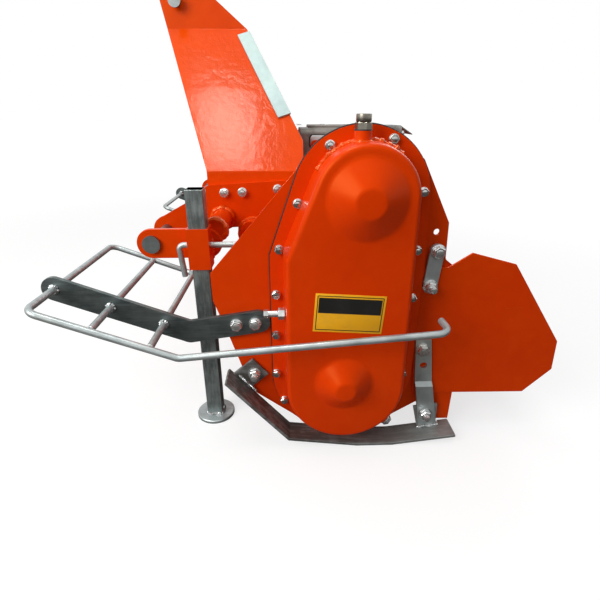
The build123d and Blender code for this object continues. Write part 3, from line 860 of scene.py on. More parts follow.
    def nut(self, start: Vector, axis: Vector, size: BoltSize, turn: float, stud: float) -> None:
        """A lock nut on its washer, with its collar and the end of the thread.

        Args:
            start: point on the surface under the washer.
            axis: outwards.
            size: the nut's size.
            turn: how far the nut is turned.
            stud: how far the thread stands out of the nut.
        """
        pitch, sunk, thread_wire = 0.0015, 0.001, 0.00045
        seat = self.washer(start, axis, size)
        self.hexagon(seat, axis, size, size.head * 1.1, turn)
        collar = seat + axis * size.head * 1.1
        self.drum(collar, axis, size.across * 0.46, size.head * 0.30, 24, size.head * 0.10)
        tip = collar + axis * size.head * 0.30
        self.drum(tip - axis * sunk, axis, size.thread, stud + sunk, 20, size.thread * 0.14)
        for step in range(int(stud / 0.0016)):
            self.ring(tip + axis * (0.0008 + step * pitch), axis, size.thread * 0.985, thread_wire, 18)

    def slab(self, corners: Sequence[Vector], thickness: Vector, edge: float = 0.0) -> None:
        """A flat piece from its outline.

        Args:
            corners: the outline, in order.
            thickness: the way and distance that it grows.
            edge: bevel of its edges.
        """
        base = self.bm.faces.new([self.bm.verts.new(corner) for corner in corners])
        grown = bmesh.ops.extrude_face_region(self.bm, geom=[base], use_keep_orig=True)["geom"]
        verts = [item for item in grown if isinstance(item, bmesh.types.BMVert)]
        bmesh.ops.translate(self.bm, verts=verts, vec=thickness)
        made = set(base.verts) | set(verts)
        faces = [face for face in self.bm.faces if set(face.verts) <= made]
        bmesh.ops.recalc_face_normals(self.bm, faces=faces)
        if edge > 0:
            self._round(list({item for face in faces for item in face.edges}), edge)

    def finish(self, name: str, finish: Finish, body: Body = Body.FRAME,
               slot: Optional[Slot] = None) -> bpy.types.Object:
        """Makes the piece, dresses it and lets it ride.

        Args:
            name: the piece's name.
            finish: its finish.
            body: the body it moves with.
            slot: the record's slot, where it isn't the finish's own.

        Returns:
            The piece's object.
        """
        bmesh.ops.recalc_face_normals(self.bm, faces=self.bm.faces[:])
        piece = new_object(name, self.bm, finish.material, self.crease)
        seat_piece(piece, body, slot or finish.slot)
        LOG.info("piece %s: %d faces", name, len(piece.data.polygons))
        return piece


@dataclass(frozen=True)
class Wardrobe:
    """Dresses the frame's own nodes, either as they are or as copies with softened edges.

    Args:
        nodes: the frame's nodes by name.
        sharp: edges sharper than this many degrees are rounded.
    """

    nodes: dict[str, bpy.types.Object]
    sharp: float = 32.0

    def paint(self, finish: Finish, *names: str) -> None:
        """Gives nodes a finish as they are.

        Args:
            finish: the finish.
            names: the nodes.
        """
        for name in names:
            for place in self.nodes[name].material_slots:
                place.material = finish.material

    def soften(self, finish: Finish, edge: float, *names: str, steps: int = 2, body: Body = Body.FRAME) -> None:
        """Replaces nodes by copies whose sharp edges are rounded.

        Args:
            finish: their finish.
            edge: width of the rounding.
            names: the nodes.
            steps: steps across the rounding.
            body: the body they move with.
        """
        for name in names:
            bm = bmesh.new()
            bm.from_mesh(self.nodes[name].data)
            bmesh.ops.remove_doubles(bm, verts=bm.verts[:], dist=1e-6)
            bmesh.ops.dissolve_limit(bm, angle_limit=radians(0.4), verts=bm.verts[:], edges=bm.edges[:],
                                     use_dissolve_boundaries=False, delimit={"NORMAL"})
            piece = new_object(f"{name}_skin", bm, finish.material, self.sharp)
            bevel = piece.modifiers.new("rounded_edges", "BEVEL")
            bevel.width = edge
            bevel.segments = steps
            bevel.limit_method = "ANGLE"
            bevel.angle_limit = radians(self.sharp)
            bevel.harden_normals = True
            bevel.use_clamp_overlap = True
            seat_piece(piece, body, finish.slot)
            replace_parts(piece, name)
            self.paint(finish, name)
            LOG.info("softened %s", name)


# ------------------------------------------------------------------ places on the frame
def foot(node: str, lift: float = 0.0) -> Vector:
    """Middle of a node's underside, lifted by so much."""
    low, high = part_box(node)
    return Vector(((low.x + high.x) / 2, (low.y + high.y) / 2, low.z + lift))


def axis_of(node: str) -> Vector:
    """Where the axis of a node that lies across the machine meets its middle plane."""
    low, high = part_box(node)
    return Vector(((low.x + high.x) / 2, 0, (low.z + high.z) / 2))


def depths(node: str) -> tuple[float, float]:
    """A one-sided node's inner and outer distances from the machine's middle."""
    near, far = sorted(abs(corner.y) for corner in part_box(node))
    return near, far


@dataclass(frozen=True)
class Datum:
    """The machine's main axes and faces, read from the frame.

    Args:
        rotor: rotor axis, in the middle of the machine.
        drive: upper drive axis, in the middle of the machine.
        case_lip: outer face of the case's flange, as a distance from the middle.
        pan_face: outer face of the pressed pan.
        side_face: outer face of the side plates.
        wing_face: outer face of the tail wings.
    """

    rotor: Vector
    drive: Vector
    case_lip: float
    pan_face: float
    side_face: float
    wing_face: float

    @classmethod
    def read(cls) -> "Datum":
        """Reads the frame's boxes."""
        lip_thickness, dome_height = 0.003, 0.027
        return cls(
            rotor=axis_of("rotor_tube"), drive=axis_of("drive_tube_left"),
            case_lip=depths("case_back_plate")[1] + lip_thickness, pan_face=depths("case_cover")[1] - dome_height,
            side_face=depths("side_plate_left")[1], wing_face=depths("tail_wing_left")[1])

    def at(self, place: Place, depth: float, side: Side = Side.LEFT) -> Vector:
        """A point on one side of the machine.

        Args:
            place: (dx, dz) from the rotor axis.
            depth: distance from the middle.
            side: which side.

        Returns:
            The point.
        """
        return Vector((self.rotor.x + place[0], side.value * depth, self.rotor.z + place[1]))


def arc(centre: Place, radius: float, first: float, last: float, steps: int) -> list[Place]:
    """Places on an arc.

    Args:
        centre: middle of the arc.
        radius: its radius.
        first: its first angle, in degrees from the rear.
        last: its last angle.
        steps: how many stretches.

    Returns:
        The places, in order.
    """
    angles = [radians(first + (last - first) * step / steps) for step in range(steps + 1)]
    return [(centre[0] + radius * cos(angle), centre[1] + radius * sin(angle)) for angle in angles]


# ------------------------------------------------------------------ sub-assemblies
@dataclass
class Assembly:
    """A group of nodes and pieces that are dressed and built together."""

    datum: Datum
    wardrobe: Wardrobe

    def build(self) -> None:
        """Dresses the nodes and builds the pieces."""
        raise NotImplementedError

    def at(self, place: Place, depth: float, side: Side = Side.LEFT) -> Vector:
        """The datum's point at a place on one side, at a depth."""
        return self.datum.at(place, depth, side)


@dataclass
class ChainCase(Assembly):
    """The chain case on the left: pressed cover, flange bolts, a dark cord of sealant and painted shadow round the
    flange, plugs, label plate and tensioner.
    """

    front_bolts: tuple[Place, ...] = (
        (-0.0308, 0.402), (-0.0815, 0.3125), (-0.1135, 0.235), (-0.1205, 0.152), (-0.1218, 0.0705),
        (-0.1232, -0.0135), (-0.109, -0.0765))
    rear_bolts: tuple[Place, ...] = (
        (0.068, 0.411), (0.1238, 0.330), (0.1242, 0.2315), (0.1248, 0.1425), (0.1248, 0.062), (0.1225, -0.0185))
    flange_low: Place = (0.0055, -0.015)
    flange_low_r: float = 0.1355
    flange_top: Place = (0.023, 0.320)
    flange_top_r: float = 0.113
    flange_knees: tuple[float, float] = (0.224, 0.214)
    crest_r: float = 0.0846
    crest_shift: float = -0.004
    label_centre: Place = (0.0028, 0.1405)
    label_size: Place = (0.118, 0.070)
    label_tilt: float = radians(-3.6)

    def build(self) -> None:
        """Builds the whole case."""
        self.wardrobe.soften(Finish.ORANGE, 0.0008, "case_back_plate")
        self.wardrobe.soften(Finish.PRESSED, 0.0007, "case_cover")
        self.wardrobe.paint(Finish.PLUG, "filler_plug")
        self.wardrobe.soften(Finish.BOLT, 0.0009, "drain_plug")
        self.wardrobe.paint(Finish.BOLT, "chain_tensioner")
        self.seal()
        self.filler()
        self.bolts()
        self.label()
        self.welds()

    def bolts(self) -> None:
        """Flange bolts, each turned a little further than the last."""
        heads = Shape()
        for index, place in enumerate(self.front_bolts + self.rear_bolts):
            heads.bolt(self.at(place, self.datum.case_lip), Side.LEFT.out, M8, 0.37 * index)
        heads.finish("case_bolts", Finish.DARK_BOLT)

    def seal(self) -> None:
        """Dark cord between the case's flange and the side plate, all round but for the foot of the case: sealant,
        and a painted shadow of the flange's edge.
        """
        outside, lift, cord = 0.0008, 0.0016, 0.0013
        low_r, top_r = self.flange_low_r + outside, self.flange_top_r + outside
        front_knee, rear_knee = self.flange_knees
        front = arc(self.flange_low, low_r, 225.0, 180.0, 12) + [(self.flange_low[0] - low_r, front_knee)]
        over = arc(self.flange_top, top_r, 161.0, -12.0, 48)
        rear = [(self.flange_low[0] + low_r, rear_knee)] + arc(self.flange_low, low_r, 0.0, -52.0, 12)
        # painted shadow: the dark cord also stands in for the shadow line along the flange's edge
        joint = Shape()
        joint.rod([self.at(place, self.datum.side_face + lift) for place in front + over + rear],
                  lambda travelled: cord)
        joint.finish("case_joint_sealant_and_shadow", Finish.SEAL)

    def filler(self) -> None:
        """Filler plug: sealing ring, chamfered hexagon and round cap."""
        low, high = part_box("filler_plug")
        seat = foot("filler_plug")
        height = high.z - low.z
        hexagon = height * 0.46
        ring = Shape()
        ring.drum(seat - UP * 0.0006, UP, 0.0134, 0.0026, 32, 0.0006)
        ring.finish("filler_ring", Finish.SEAL)
        under_cap = 0.0014
        plug = Shape()
        plug.hexagon(seat + UP * 0.0014, UP, BoltSize(0.0225), hexagon, radians(12))
        waist = seat + UP * hexagon
        plug.drum(waist, UP, 0.0100, height * 0.45, 32, 0.0004)
        plug.drum(waist + UP * under_cap, UP, 0.0114, height * 0.54 - under_cap, 40, 0.0011)
        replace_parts(plug.finish("filler_plug_turned", Finish.PLUG), "filler_plug")

    def _label_corners(self, width: float, height: float, depth: float, shift: Place) -> list[Vector]:
        """Corners of an upright rectangle on the label, turned with it.

        Args:
            width: its width.
            height: its height.
            depth: its distance from the middle of the machine.
            shift: its middle from the label's middle, before the turn.

        Returns:
            The four corners.
        """
        corners = []
        for across, up in SQUARE:
            x, z = shift[0] + across * width / 2, shift[1] + up * height / 2
            turned = (x * cos(self.label_tilt) - z * sin(self.label_tilt),
                      x * sin(self.label_tilt) + z * cos(self.label_tilt))
            corners.append(self.at((self.label_centre[0] + turned[0], self.label_centre[1] + turned[1]), depth))
        return corners

    def label(self) -> None:
        """A blank yellow label plate with a thin dark border and a dark band across its top."""
        width, height = self.label_size
        middle = (0.0, 0.0)
        plate_t, ink_t = 0.0006, 0.00015
        margin, line = 0.0042, 0.0014
        band_h, band_inset, band_gap = 0.0278, 0.0040, 0.003
        face = self.datum.pan_face
        plate = Shape()
        plate.slab(self._label_corners(width, height, face, middle), Side.LEFT.out * plate_t, 0.0002)
        plate.finish("label_plate", Finish.FOIL)
        inner_w, inner_h = width - 2 * margin, height - 2 * margin
        ink = Shape()
        for long, high, shift in (
                (inner_w, line, (0.0, inner_h / 2)), (inner_w, line, (0.0, -inner_h / 2)),
                (line, inner_h, (-inner_w / 2, 0.0)), (line, inner_h, (inner_w / 2, 0.0)),
                (inner_w - band_inset, band_h, (0.0, inner_h / 2 - band_h / 2 - band_gap))):
            ink.slab(self._label_corners(long, high, face + plate_t, shift), Side.LEFT.out * ink_t)
        ink.finish("label_border", Finish.FOIL_INK)

    def welds(self) -> None:
        """Lumpy welds round the filler boss and over the top of the pressed cover."""
        boss = foot("filler_plug", -0.0155)
        wire = 0.0030
        weld = Shape()
        weld.ring(boss, UP, 0.0140, wire, 36, 0.25)
        weld.ring(boss - UP * 0.0045, UP, 0.0160, wire, 36, 0.3)
        drive = (self.datum.drive.x - self.datum.rotor.x, self.datum.drive.z - self.datum.rotor.z)
        crest = arc(drive, self.crest_r, 152.0, 48.0, 104)
        weld.rod([self.at(place, -boss.y + self.crest_shift) for place in crest], self._crest_radius)
        weld.finish("filler_weld", Finish.WELD_PAINT)

    @staticmethod
    def _crest_radius(travelled: float) -> float:
        """Radius of the weld over the cover's top, at a distance along it."""
        waves = ((0.0010, 510, 0.0), (0.0009, 233, 1.0), (0.0004, 1430, 0.0))
        return 0.0034 + sum(height * sin(travelled * pace + start) for height, pace, start in waves)


@dataclass
class Carcass(Assembly):
    """Side plates, hood, cross tube, right-hand bearings and drive tubes."""

    rotor_cover: Place = (0.053, 0.010)     # radius of its bolt circle, and its thickness
    drive_cover: Place = (0.047, 0.008)
    hood_line: tuple[Place, ...] = (
        (-0.203, 0.060), (-0.186, 0.148), (-0.110, 0.218), (0.040, 0.238), (0.140, 0.209))

    def build(self) -> None:
        """Dresses the carcass and bolts its bearings on."""
        for side in Side:
            self.wardrobe.soften(Finish.ORANGE, 0.0012, side.node("side_plate"))
            self.wardrobe.soften(Finish.ORANGE, 0.0008, side.node("drive_tube"))
        self.wardrobe.soften(Finish.ORANGE, 0.0010, "hood")
        self.wardrobe.paint(Finish.ORANGE, "cross_tube", "rotor_flanges", "rotor_tube")
        self.wardrobe.soften(Finish.ORANGE, 0.0009, "rotor_bearing_right", "drive_cap_right", "gearbox_brackets")
        self.bearings()
        self.welds()

    def bearings(self) -> None:
        """Bolts round the two bearing covers on the right."""
        heads = Shape()
        for axis, (radius, thickness) in (
                (self.datum.rotor, self.rotor_cover), (self.datum.drive, self.drive_cover)):
            centre = Vector((axis.x, self.datum.side_face + thickness, axis.z))
            heads.bolt_circle(centre, Side.RIGHT.out, radius, 0.5)
        heads.finish("bearing_bolts", Finish.BOLT)

    def welds(self) -> None:
        """Weld beads along the hood's two ends, where it meets the side plates."""
        depth = self.datum.side_face - 0.0070
        beads = Shape()
        for side in Side:
            points = [self.at((x, z + 0.0010), depth, side) for x, z in self.hood_line]
            for first, last in zip(points, points[1:]):
                beads.bead(first, last, 0.0034)
        beads.finish("hood_welds", Finish.WELD_PAINT)


@dataclass
class Hitch(Assembly):
    """Lower hitch plates, their pins and spacers, the bolted feet and the mast."""

    foot_bolts: tuple[Place, ...] = ((-0.230, 0.296), (-0.192, 0.297), (-0.118, 0.303))
    spacer: Place = (-0.237, 0.243)
    mast_t: float = 0.008

    def build(self) -> None:
        """Dresses the hitch and builds its bolts and welds."""
        for side in Side:
            self.wardrobe.soften(Finish.ORANGE, 0.0012, side.node("hitch_ear"), side.node("hitch_frame"))
            self.wardrobe.soften(Finish.MAST, 0.0012, side.node("mast"))
            self.wardrobe.paint(Finish.PIN, side.node("hitch_pin"))
            self.bolts(side)
            self.welds(side)
        self.wardrobe.paint(Finish.ORANGE, "hitch_spacers")
        self.wardrobe.paint(Finish.PIN, "top_link_pin")
        self.wardrobe.soften(Finish.WHITE_STRAP, 0.0010, "mast_straps")

    def bolts(self, side: Side) -> None:
        """Bolts through the frame plate and the mast's foot."""
        outer = depths(side.node("hitch_frame"))[1]
        inner = depths(side.node("mast"))[1] - self.mast_t
        heads = Shape()
        for index, place in enumerate(self.foot_bolts):
            heads.bolt(self.at(place, outer, side), side.out, M10, 0.4 + 0.5 * index)
            heads.nut(self.at(place, inner, side), -side.out, M10, 0.2 * index, 0.005)
        heads.finish(side.node("mast_foot_bolts"), Finish.BOLT)

    def welds(self, side: Side) -> None:
        """Weld beads round both ends of the spacer, and round the cross tube."""
        ear_inner = depths(side.node("hitch_ear"))[0]
        frame_outer = depths(side.node("hitch_frame"))[1]
        spacer, tube = self.at(self.spacer, 0.0), axis_of("cross_tube")
        bead = Shape()
        for centre, depth, radius, wire, sides, ripple in (
                (spacer, ear_inner - 0.0030, 0.0205, 0.0056, 40, 0.16),
                (spacer, frame_outer + 0.0020, 0.0222, 0.0048, 40, 0.22),
                (tube, frame_outer + 0.0015, 0.0310, 0.0036, 48, 0.2)):
            bead.ring(centre + side.out * depth, side.out, radius, wire, sides, ripple)
        bead.finish(side.node("hitch_welds"), Finish.WELD_PAINT)


@dataclass
class Stand(Assembly):
    """Parking stand: sleeve, square leg, disc foot and the bent locking pin."""

    foot_t: float = 0.0012      # from the leg's lower end up to the disc's top
    seam_short: Place = (0.010, 0.016)      # how far the sleeve's seams stop short, below and above

    def build(self) -> None:
        """Dresses the stand and welds it."""
        self.wardrobe.soften(Finish.ORANGE, 0.0016, "stand_sleeve", steps=3)
        self.wardrobe.soften(Finish.LEG, 0.0022, "stand_leg", steps=3, body=Body.STAND)
        self.wardrobe.paint(Finish.ROD, "stand_foot", "stand_pin")
        self.foot_weld()
        self.sleeve_weld()

    def foot_weld(self) -> None:
        """The weld round the leg on its disc."""
        low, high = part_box("stand_leg")
        half = (high.x - low.x) / 2
        centre = foot("stand_leg", self.foot_t)
        corners = [centre + Vector((x * half, y * half, 0)) for x, y in SQUARE]
        weld = Shape()
        for first, last in zip(corners, corners[1:] + corners[:1]):
            weld.bead(first, last, 0.0042)
        weld.finish("stand_foot_weld", Finish.WELD_ZINC, Body.STAND)

    def sleeve_weld(self) -> None:
        """The sleeve's two upright welds on the hitch ear."""
        low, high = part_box("stand_sleeve")
        below, above = self.seam_short
        top = min(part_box("hitch_ear_left")[1].z, high.z) - above
        seam = Shape()
        for x in (low.x, high.x):
            end = Vector((x, high.y - 0.0005, top))
            seam.bead(Vector((x, end.y, low.z + below)), end, 0.0028)
        seam.finish("stand_sleeve_weld", Finish.WELD_PAINT)


@dataclass
class Guards(Assembly):
    """Side guards: flat-bar carriers, bent rods, their welds and bolts."""

    bolts: tuple[Place, ...] = ((-0.1945, 0.0925), (-0.160, 0.0945))
    front: Place = (-0.508, 0.166)
    bend: Place = (-0.281, 0.078)
    bars: tuple[float, ...] = (0.0, 0.405, 0.80)    # shares of the way from front to bend
    rod: float = 0.006

    def build(self) -> None:
        """Dresses both guards."""
        for side in Side:
            self.wardrobe.soften(Finish.CARRIER, 0.0014, side.node("guard_carrier"))
            self.wardrobe.paint(Finish.ROD, side.node("guard_rails"))
            self.fix(side)
            self.weld(side)

    def fix(self, side: Side) -> None:
        """The two bolts that hold the carrier."""
        outer = depths(side.node("guard_carrier"))[1]
        heads = Shape()
        for index, place in enumerate(self.bolts):
            heads.bolt(self.at(place, outer, side), side.out, M12, 0.3 + 0.5 * index)
        heads.finish(side.node("guard_bolts"), Finish.BOLT)

    def weld(self, side: Side) -> None:
        """Weld beads where the bars pass through the carrier and where they meet the near rail."""
        inner, outer = depths(side.node("guard_carrier"))
        rail = depths(side.node("guard_rails"))[1] - self.rod
        off = 0.0008
        bead = Shape()
        for share in self.bars:
            place = tuple(first + share * (last - first) for first, last in zip(self.front, self.bend))
            for depth in (outer + off, inner - off):
                bead.ring(self.at(place, depth, side), side.out, self.rod + 0.0012, 0.0023, 26, 0.30)
            if share > 0:
                seat = self.at(place, rail - self.rod * 0.85, side)
                bead.ring(seat, side.out, self.rod * 0.92, 0.0017, 22, 0.25)
        bead.finish(side.node("guard_welds"), Finish.WELD_ZINC)


@dataclass
class Skids(Assembly):
    """Skids with their welded tabs, straps and fixings."""

    strap_bolt: Place = (0.157, 0.035)
    rear_nut: Place = (0.1765, -0.112)
    front_nut: Place = (-0.166, -0.015)
    rear_foot: tuple[Place, Place] = ((0.163, -0.1475), (0.206, -0.142))
    front_foot: tuple[Place, Place] = ((-0.197, -0.019), (-0.163, -0.058))
    tab_t: float = 0.006

    def build(self) -> None:
        """Dresses both skids."""
        self.wardrobe.soften(Finish.STRAP, 0.0012, "skid_rear_straps")
        for side in Side:
            self.wardrobe.soften(Finish.MILL, 0.0012, side.node("skid"))
            self.fixings(side)
            self.welds(side)

    def _faces(self) -> tuple[float, float, float]:
        """Outer faces of the front tab, of the strap on the wing, and of the strap on the rear tab."""
        strap = self.datum.wing_face + self.tab_t
        return self.datum.side_face + self.tab_t, strap, strap + self.tab_t

    def fixings(self, side: Side) -> None:
        """Bolt and nuts of one skid."""
        front, strap, rear = self._faces()
        made = Shape()
        made.bolt(self.at(self.strap_bolt, strap, side), side.out, M14, 0.5)
        made.nut(self.at(self.rear_nut, rear, side), side.out, M14, 0.2, 0.007)
        made.nut(self.at(self.front_nut, front, side), side.out, M14, 0.8, 0.008)
        made.finish(side.node("skid_fixings"), Finish.BOLT)

    def welds(self, side: Side) -> None:
        """Lumpy welds at the foot of both tabs."""
        front, inner, outer = self._faces()
        rear_first, rear_last = self.rear_foot
        front_first, front_last = self.front_foot
        lumps = Shape()
        for first, first_depth, last, last_depth, wire in (
                (rear_first, outer - 0.001, rear_last, outer - 0.001, 0.0046),
                (rear_last, outer + 0.001, rear_last, inner - 0.008, 0.0032),
                (front_first, front, front_last, front, 0.0036)):
            lumps.bead(self.at(first, first_depth, side), self.at(last, last_depth, side), wire)
        lumps.finish(side.node("skid_welds"), Finish.WELD_ZINC)


@dataclass
class TailEnd(Assembly):
    """Tail wings, their links and the hinged tailboard."""

    link_top: Place = (0.161, 0.229)
    link_low: Place = (0.1555, 0.164)
    link_t: float = 0.005

    def build(self) -> None:
        """Dresses the tail."""
        for side in Side:
            self.wardrobe.soften(Finish.ORANGE, 0.0010, side.node("tail_wing"))
            self.links(side)
        self.wardrobe.soften(Finish.STRAP, 0.0010, "wing_links")
        self.wardrobe.soften(Finish.ORANGE, 0.0010, "tailboard", body=Body.BOARD)
        self.wardrobe.paint(Finish.ROD, "tailboard_hinge_rod")

    def links(self, side: Side) -> None:
        """The link's upper bolt and lower lock nut."""
        face = self.datum.wing_face + self.link_t
        made = Shape()
        made.bolt(self.at(self.link_top, face, side), side.out, M14, 0.1)
        made.nut(self.at(self.link_low, face, side), side.out, M14, 0.4, 0.009)
        made.finish(side.node("wing_link_fixings"), Finish.BOLT)


@dataclass
class Driveline(Assembly):
    """Gearbox, its rear cover, the splined shaft and its guard."""

    flange_t: float = 0.010
    flange_r: float = 0.068
    plate_t: float = 0.006
    tube_r: float = 0.044
    cover_at: Place = (0.036, 0.5485)
    cover_face: tuple[Place, ...] = (
        (-1, -0.6), (-0.8, -1), (0.8, -1), (1, -0.6), (1, 0.6), (0.8, 1), (-0.8, 1), (-1, 0.6))
    cover_bolts: tuple[Place, ...] = ((-0.050, 0.018), (0.050, 0.018), (0.050, 0.136), (-0.050, 0.136))

    def build(self) -> None:
        """Dresses the drive line."""
        self.wardrobe.soften(Finish.CASTING, 0.0030, "gearbox", steps=3)
        self.wardrobe.soften(Finish.CASTING, 0.0040, "gearbox_rear_cover", steps=3)
        self.wardrobe.paint(Finish.MACHINED, "pto_shaft")
        self.wardrobe.soften(Finish.PLASTIC, 0.0010, "pto_shield")
        self.side_cover()
        self.top_plate()
        self.screws()
        self.bolts()
        self.welds()

    def side_cover(self) -> None:
        """Bright cover with a black gasket on each side of the gearbox."""
        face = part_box("gearbox")[1].y
        x, z = self.cover_at
        for side in Side:
            centre = Vector((x, side.value * face, z))
            for name, finish, half, deep, rim in (
                    ("gearbox_gasket", Finish.SEAL, 0.0265, 0.0016, 0.0),
                    ("gearbox_side_cover", Finish.COVER, 0.0235, 0.0050, 0.0012)):
                shape = Shape()
                shape.slab([centre + Vector((along * half, 0, up * half * 0.62)) for along, up in self.cover_face],
                           side.out * deep, rim)
                shape.finish(side.node(name), finish)

    def top_plate(self) -> None:
        """Dark plate screwed onto the rear cover, with its end bent down behind it."""
        low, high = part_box("gearbox_rear_cover")
        under, over = high.z - 0.0004, high.z + 0.0024
        profile = ((low.x + 0.002, under), (high.x - 0.002, under), (high.x + 0.030, high.z - 0.020),
                   (high.x + 0.0325, high.z - 0.0185), (high.x - 0.001, over), (low.x + 0.002, over))
        half = 0.048
        plate = Shape()
        plate.slab([Vector((x, -half, z)) for x, z in profile], Side.RIGHT.out * 2 * half, 0.0005)
        plate.finish("gearbox_top_plate", Finish.MILL, slot=Slot.CASTING)

    def screws(self) -> None:
        """Flush screws in the lid and the top plate."""
        low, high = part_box("gearbox")
        cover_low, cover_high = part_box("gearbox_rear_cover")
        inset = 0.034
        screws = Shape()
        for x in (low.x + inset, (low.x + high.x) / 2, high.x - inset):
            for y in (-0.050, 0.050):
                screws.button(Vector((x, y, high.z - 0.0002)), UP, 0.0072, 0.0012)
        for y in (-0.034, 0.034):
            screws.button(Vector((cover_low.x + 0.045, y, cover_high.z + 0.0023)), UP, 0.0068, 0.0011)
        screws.finish("gearbox_screws", Finish.BOLT)

    def _flanges(self) -> list[tuple[Side, Vector, Vector]]:
        """For each flange of the drive tubes, its side, the middle of its face and the way that it looks."""
        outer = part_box("gearbox")[1].y + self.flange_t
        inner = self.datum.side_face - self.plate_t - self.flange_t
        return [(side, Vector((self.datum.drive.x, side.value * depth, self.datum.drive.z)), out)
                for side in Side for depth, out in ((outer, side.out), (inner, -side.out))]

    def bolts(self) -> None:
        """The bolts of the rear cover and of the drive tubes' flanges."""
        low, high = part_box("gearbox_rear_cover")
        heads = Shape()
        for index, (y, z) in enumerate(self.cover_bolts):
            heads.bolt(Vector((high.x, y, low.z + z)), REAR, M8, 0.6 * index)
        for _, centre, out in self._flanges():
            heads.bolt_circle(centre, out, self.flange_r, 0.4)
        heads.finish("gearbox_bolts", Finish.BOLT)

    def welds(self) -> None:
        """Weld beads where the drive tubes meet their flanges."""
        beads = Shape()
        for side, centre, out in self._flanges():
            beads.ring(centre + out * 0.0012, side.out, self.tube_r + 0.0008, 0.0034, 64, 0.2)
        beads.finish("drive_tube_welds", Finish.WELD_PAINT)


@dataclass
class Rotor(Assembly):
    """Rotor shaft with its flanges, tines and tine bolts."""

    flanges: int = 6
    tines_a_side: int = 2
    flange_t: float = 0.008
    tine_t: float = 0.008
    bolt_radii: tuple[float, float] = (0.056, 0.073)

    def build(self) -> None:
        """Dresses the rotor and bolts its tines."""
        self.wardrobe.soften(Finish.TINE, 0.0010, "tines_left_hand", "tines_right_hand", body=Body.ROTOR)
        self.bolts()

    def bolts(self) -> None:
        """Two bolts through each tine and its flange."""
        low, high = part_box("rotor_flanges")
        pitch = (high.y - low.y - self.flange_t) / (self.flanges - 1)
        made = Shape()
        for index in range(self.flanges):
            middle = low.y + self.flange_t / 2 + index * pitch
            start = index * pi / (self.tines_a_side * self.flanges) * 2
            for turn in range(2 * self.tines_a_side):
                hand = Side.LEFT if turn % 2 == 0 else Side.RIGHT
                angle = start + turn * pi / self.tines_a_side
                front = middle + hand.value * (self.flange_t / 2 + self.tine_t)
                back = middle - hand.value * self.flange_t / 2
                for radius in self.bolt_radii:
                    x, z = self.datum.rotor.x + radius * sin(angle), self.datum.rotor.z + radius * cos(angle)
                    made.drum(Vector((x, front, z)), hand.out, M10.corner, M10.head, 6, 0.0, angle)
                    made.drum(Vector((x, back, z)), -hand.out, M10.corner, M10.head, 6, 0.0, angle)
        made.finish("tine_bolts", Finish.DARK_BOLT, Body.ROTOR)


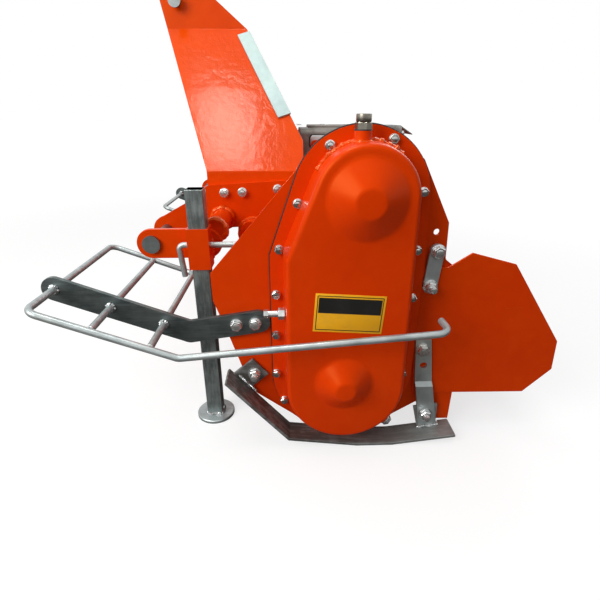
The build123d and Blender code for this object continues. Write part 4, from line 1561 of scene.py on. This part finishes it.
# ------------------------------------------------------------------ studio
@dataclass
class Studio:
    """Pale floor, plain soft light and the camera.

    Args:
        eye: where the camera stands.
        pitch: how far it looks down.
        yaw: how far it looks to the rear of straight across.
        lens: focal length, on a 36 mm sensor.
        ambient: strength of the grey light from all round.
    """

    eye: Triple = (-0.0463, -1.187, 0.608)
    pitch: float = radians(23.77)
    yaw: float = radians(1.75)
    lens: float = 25.2
    ambient: float = 0.24

    def build(self) -> None:
        """Sets up the floor, the world, the lamps and the camera."""
        self.ground()
        self.world()
        self.lamp("key", (-1.9, -1.9, 1.75), (0.0, -0.3, 0.4), (1.7, 1.7), 62.0, (1.0, 0.985, 0.96))
        self.lamp("back", (1.8, 2.0, 2.1), (0.0, 0.2, 0.3), (1.4, 1.4), 24.0, (0.96, 0.98, 1.0))
        sky = self.lamp("sky", (-0.2, -0.4, 3.0), (-0.2, -0.4, 0.0), (2.0, 2.0), 34.0, WHITE)
        sky.visible_glossy = False
        panel = self.lamp("panel", (-0.40, -0.60, 2.32), (-0.40, -0.60, 0.0), (0.33, 0.45), 12.5, (1.0, 1.0, 0.97))
        panel.visible_diffuse = False
        self.camera()
        bpy.context.scene.view_settings.view_transform = "Standard"

    def sheet(self, name: str, half: float, height: float, material: bpy.types.Material) -> bpy.types.Object:
        """A level sheet that isn't part of the machine.

        Args:
            name: its name.
            half: half its width.
            height: its height.
            material: its material.

        Returns:
            The sheet.
        """
        bm = bmesh.new()
        bmesh.ops.create_grid(bm, x_segments=1, y_segments=1, size=half, matrix=Matrix.Translation((0, 0, height)))
        sheet = new_object(name, bm, material)
        return sheet

    def ground(self) -> None:
        """The pale floor, and a dark mat that only reflections see, so that glossy faces keep their depth."""
        self.sheet("studio_floor", 40.0, -0.0006, StudioFloor("studio_floor").build())
        mat = self.sheet("dark_mat", 30.0, 0.0004, Foil("dark_mat", (0.045, 0.038, 0.033), 0.9).build())
        for unseen in ("visible_camera", "visible_diffuse", "visible_shadow", "visible_transmission"):
            setattr(mat, unseen, False)

    def world(self) -> None:
        """White where it is seen, and a plain grey light elsewhere."""
        world = bpy.data.worlds.new("studio")
        bpy.context.scene.world = world
        graph = Graph(world)
        strength = seen_directly(graph) * (1.0 - self.ambient) + self.ambient
        light = graph.node("ShaderNodeBackground", {}, {"Color": WHITE, "Strength": strength})
        graph.close(light, "ShaderNodeOutputWorld")

    def lamp(self, name: str, place: Triple, target: Triple, size: Place, power: float,
             colour: Colour) -> bpy.types.Object:
        """A soft lamp.

        Args:
            name: the lamp's name.
            place: where it hangs.
            target: what it points at.
            size: its two sides.
            power: its power in watts.
            colour: its colour.

        Returns:
            The lamp.
        """
        data = bpy.data.lights.new(name, "AREA")
        data.shape = "RECTANGLE"
        data.size, data.size_y = size
        data.energy = power
        data.color = colour
        lamp = bpy.data.objects.new(name, data)
        lamp.location = place
        lamp.rotation_euler = (Vector(target) - Vector(place)).to_track_quat("-Z", "Y").to_euler()
        bpy.context.scene.collection.objects.link(lamp)
        return lamp

    def camera(self) -> None:
        """The camera, 0.6 m above the floor on the chain case's side."""
        data = bpy.data.cameras.new("camera")
        data.sensor_width = 36.0
        data.lens = self.lens
        data.clip_end = 100.0
        camera = bpy.data.objects.new("camera", data)
        camera.location = self.eye
        camera.rotation_euler = (pi / 2 - self.pitch, 0.0, -self.yaw)
        bpy.context.scene.collection.objects.link(camera)
        bpy.context.scene.camera = camera


def main() -> None:
    """Builds every sub-assembly in turn."""
    logging.basicConfig(level=logging.INFO, format="%(message)s")
    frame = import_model()
    datum = Datum.read()
    wardrobe = Wardrobe(frame["nodes"])
    Studio().build()
    for assembly in (ChainCase, Carcass, Hitch, Stand, Guards, Skids, TailEnd, Driveline, Rotor):
        LOG.info("building %s", assembly.__name__)
        assembly(datum, wardrobe).build()


if __name__ == "__main__":
    main()
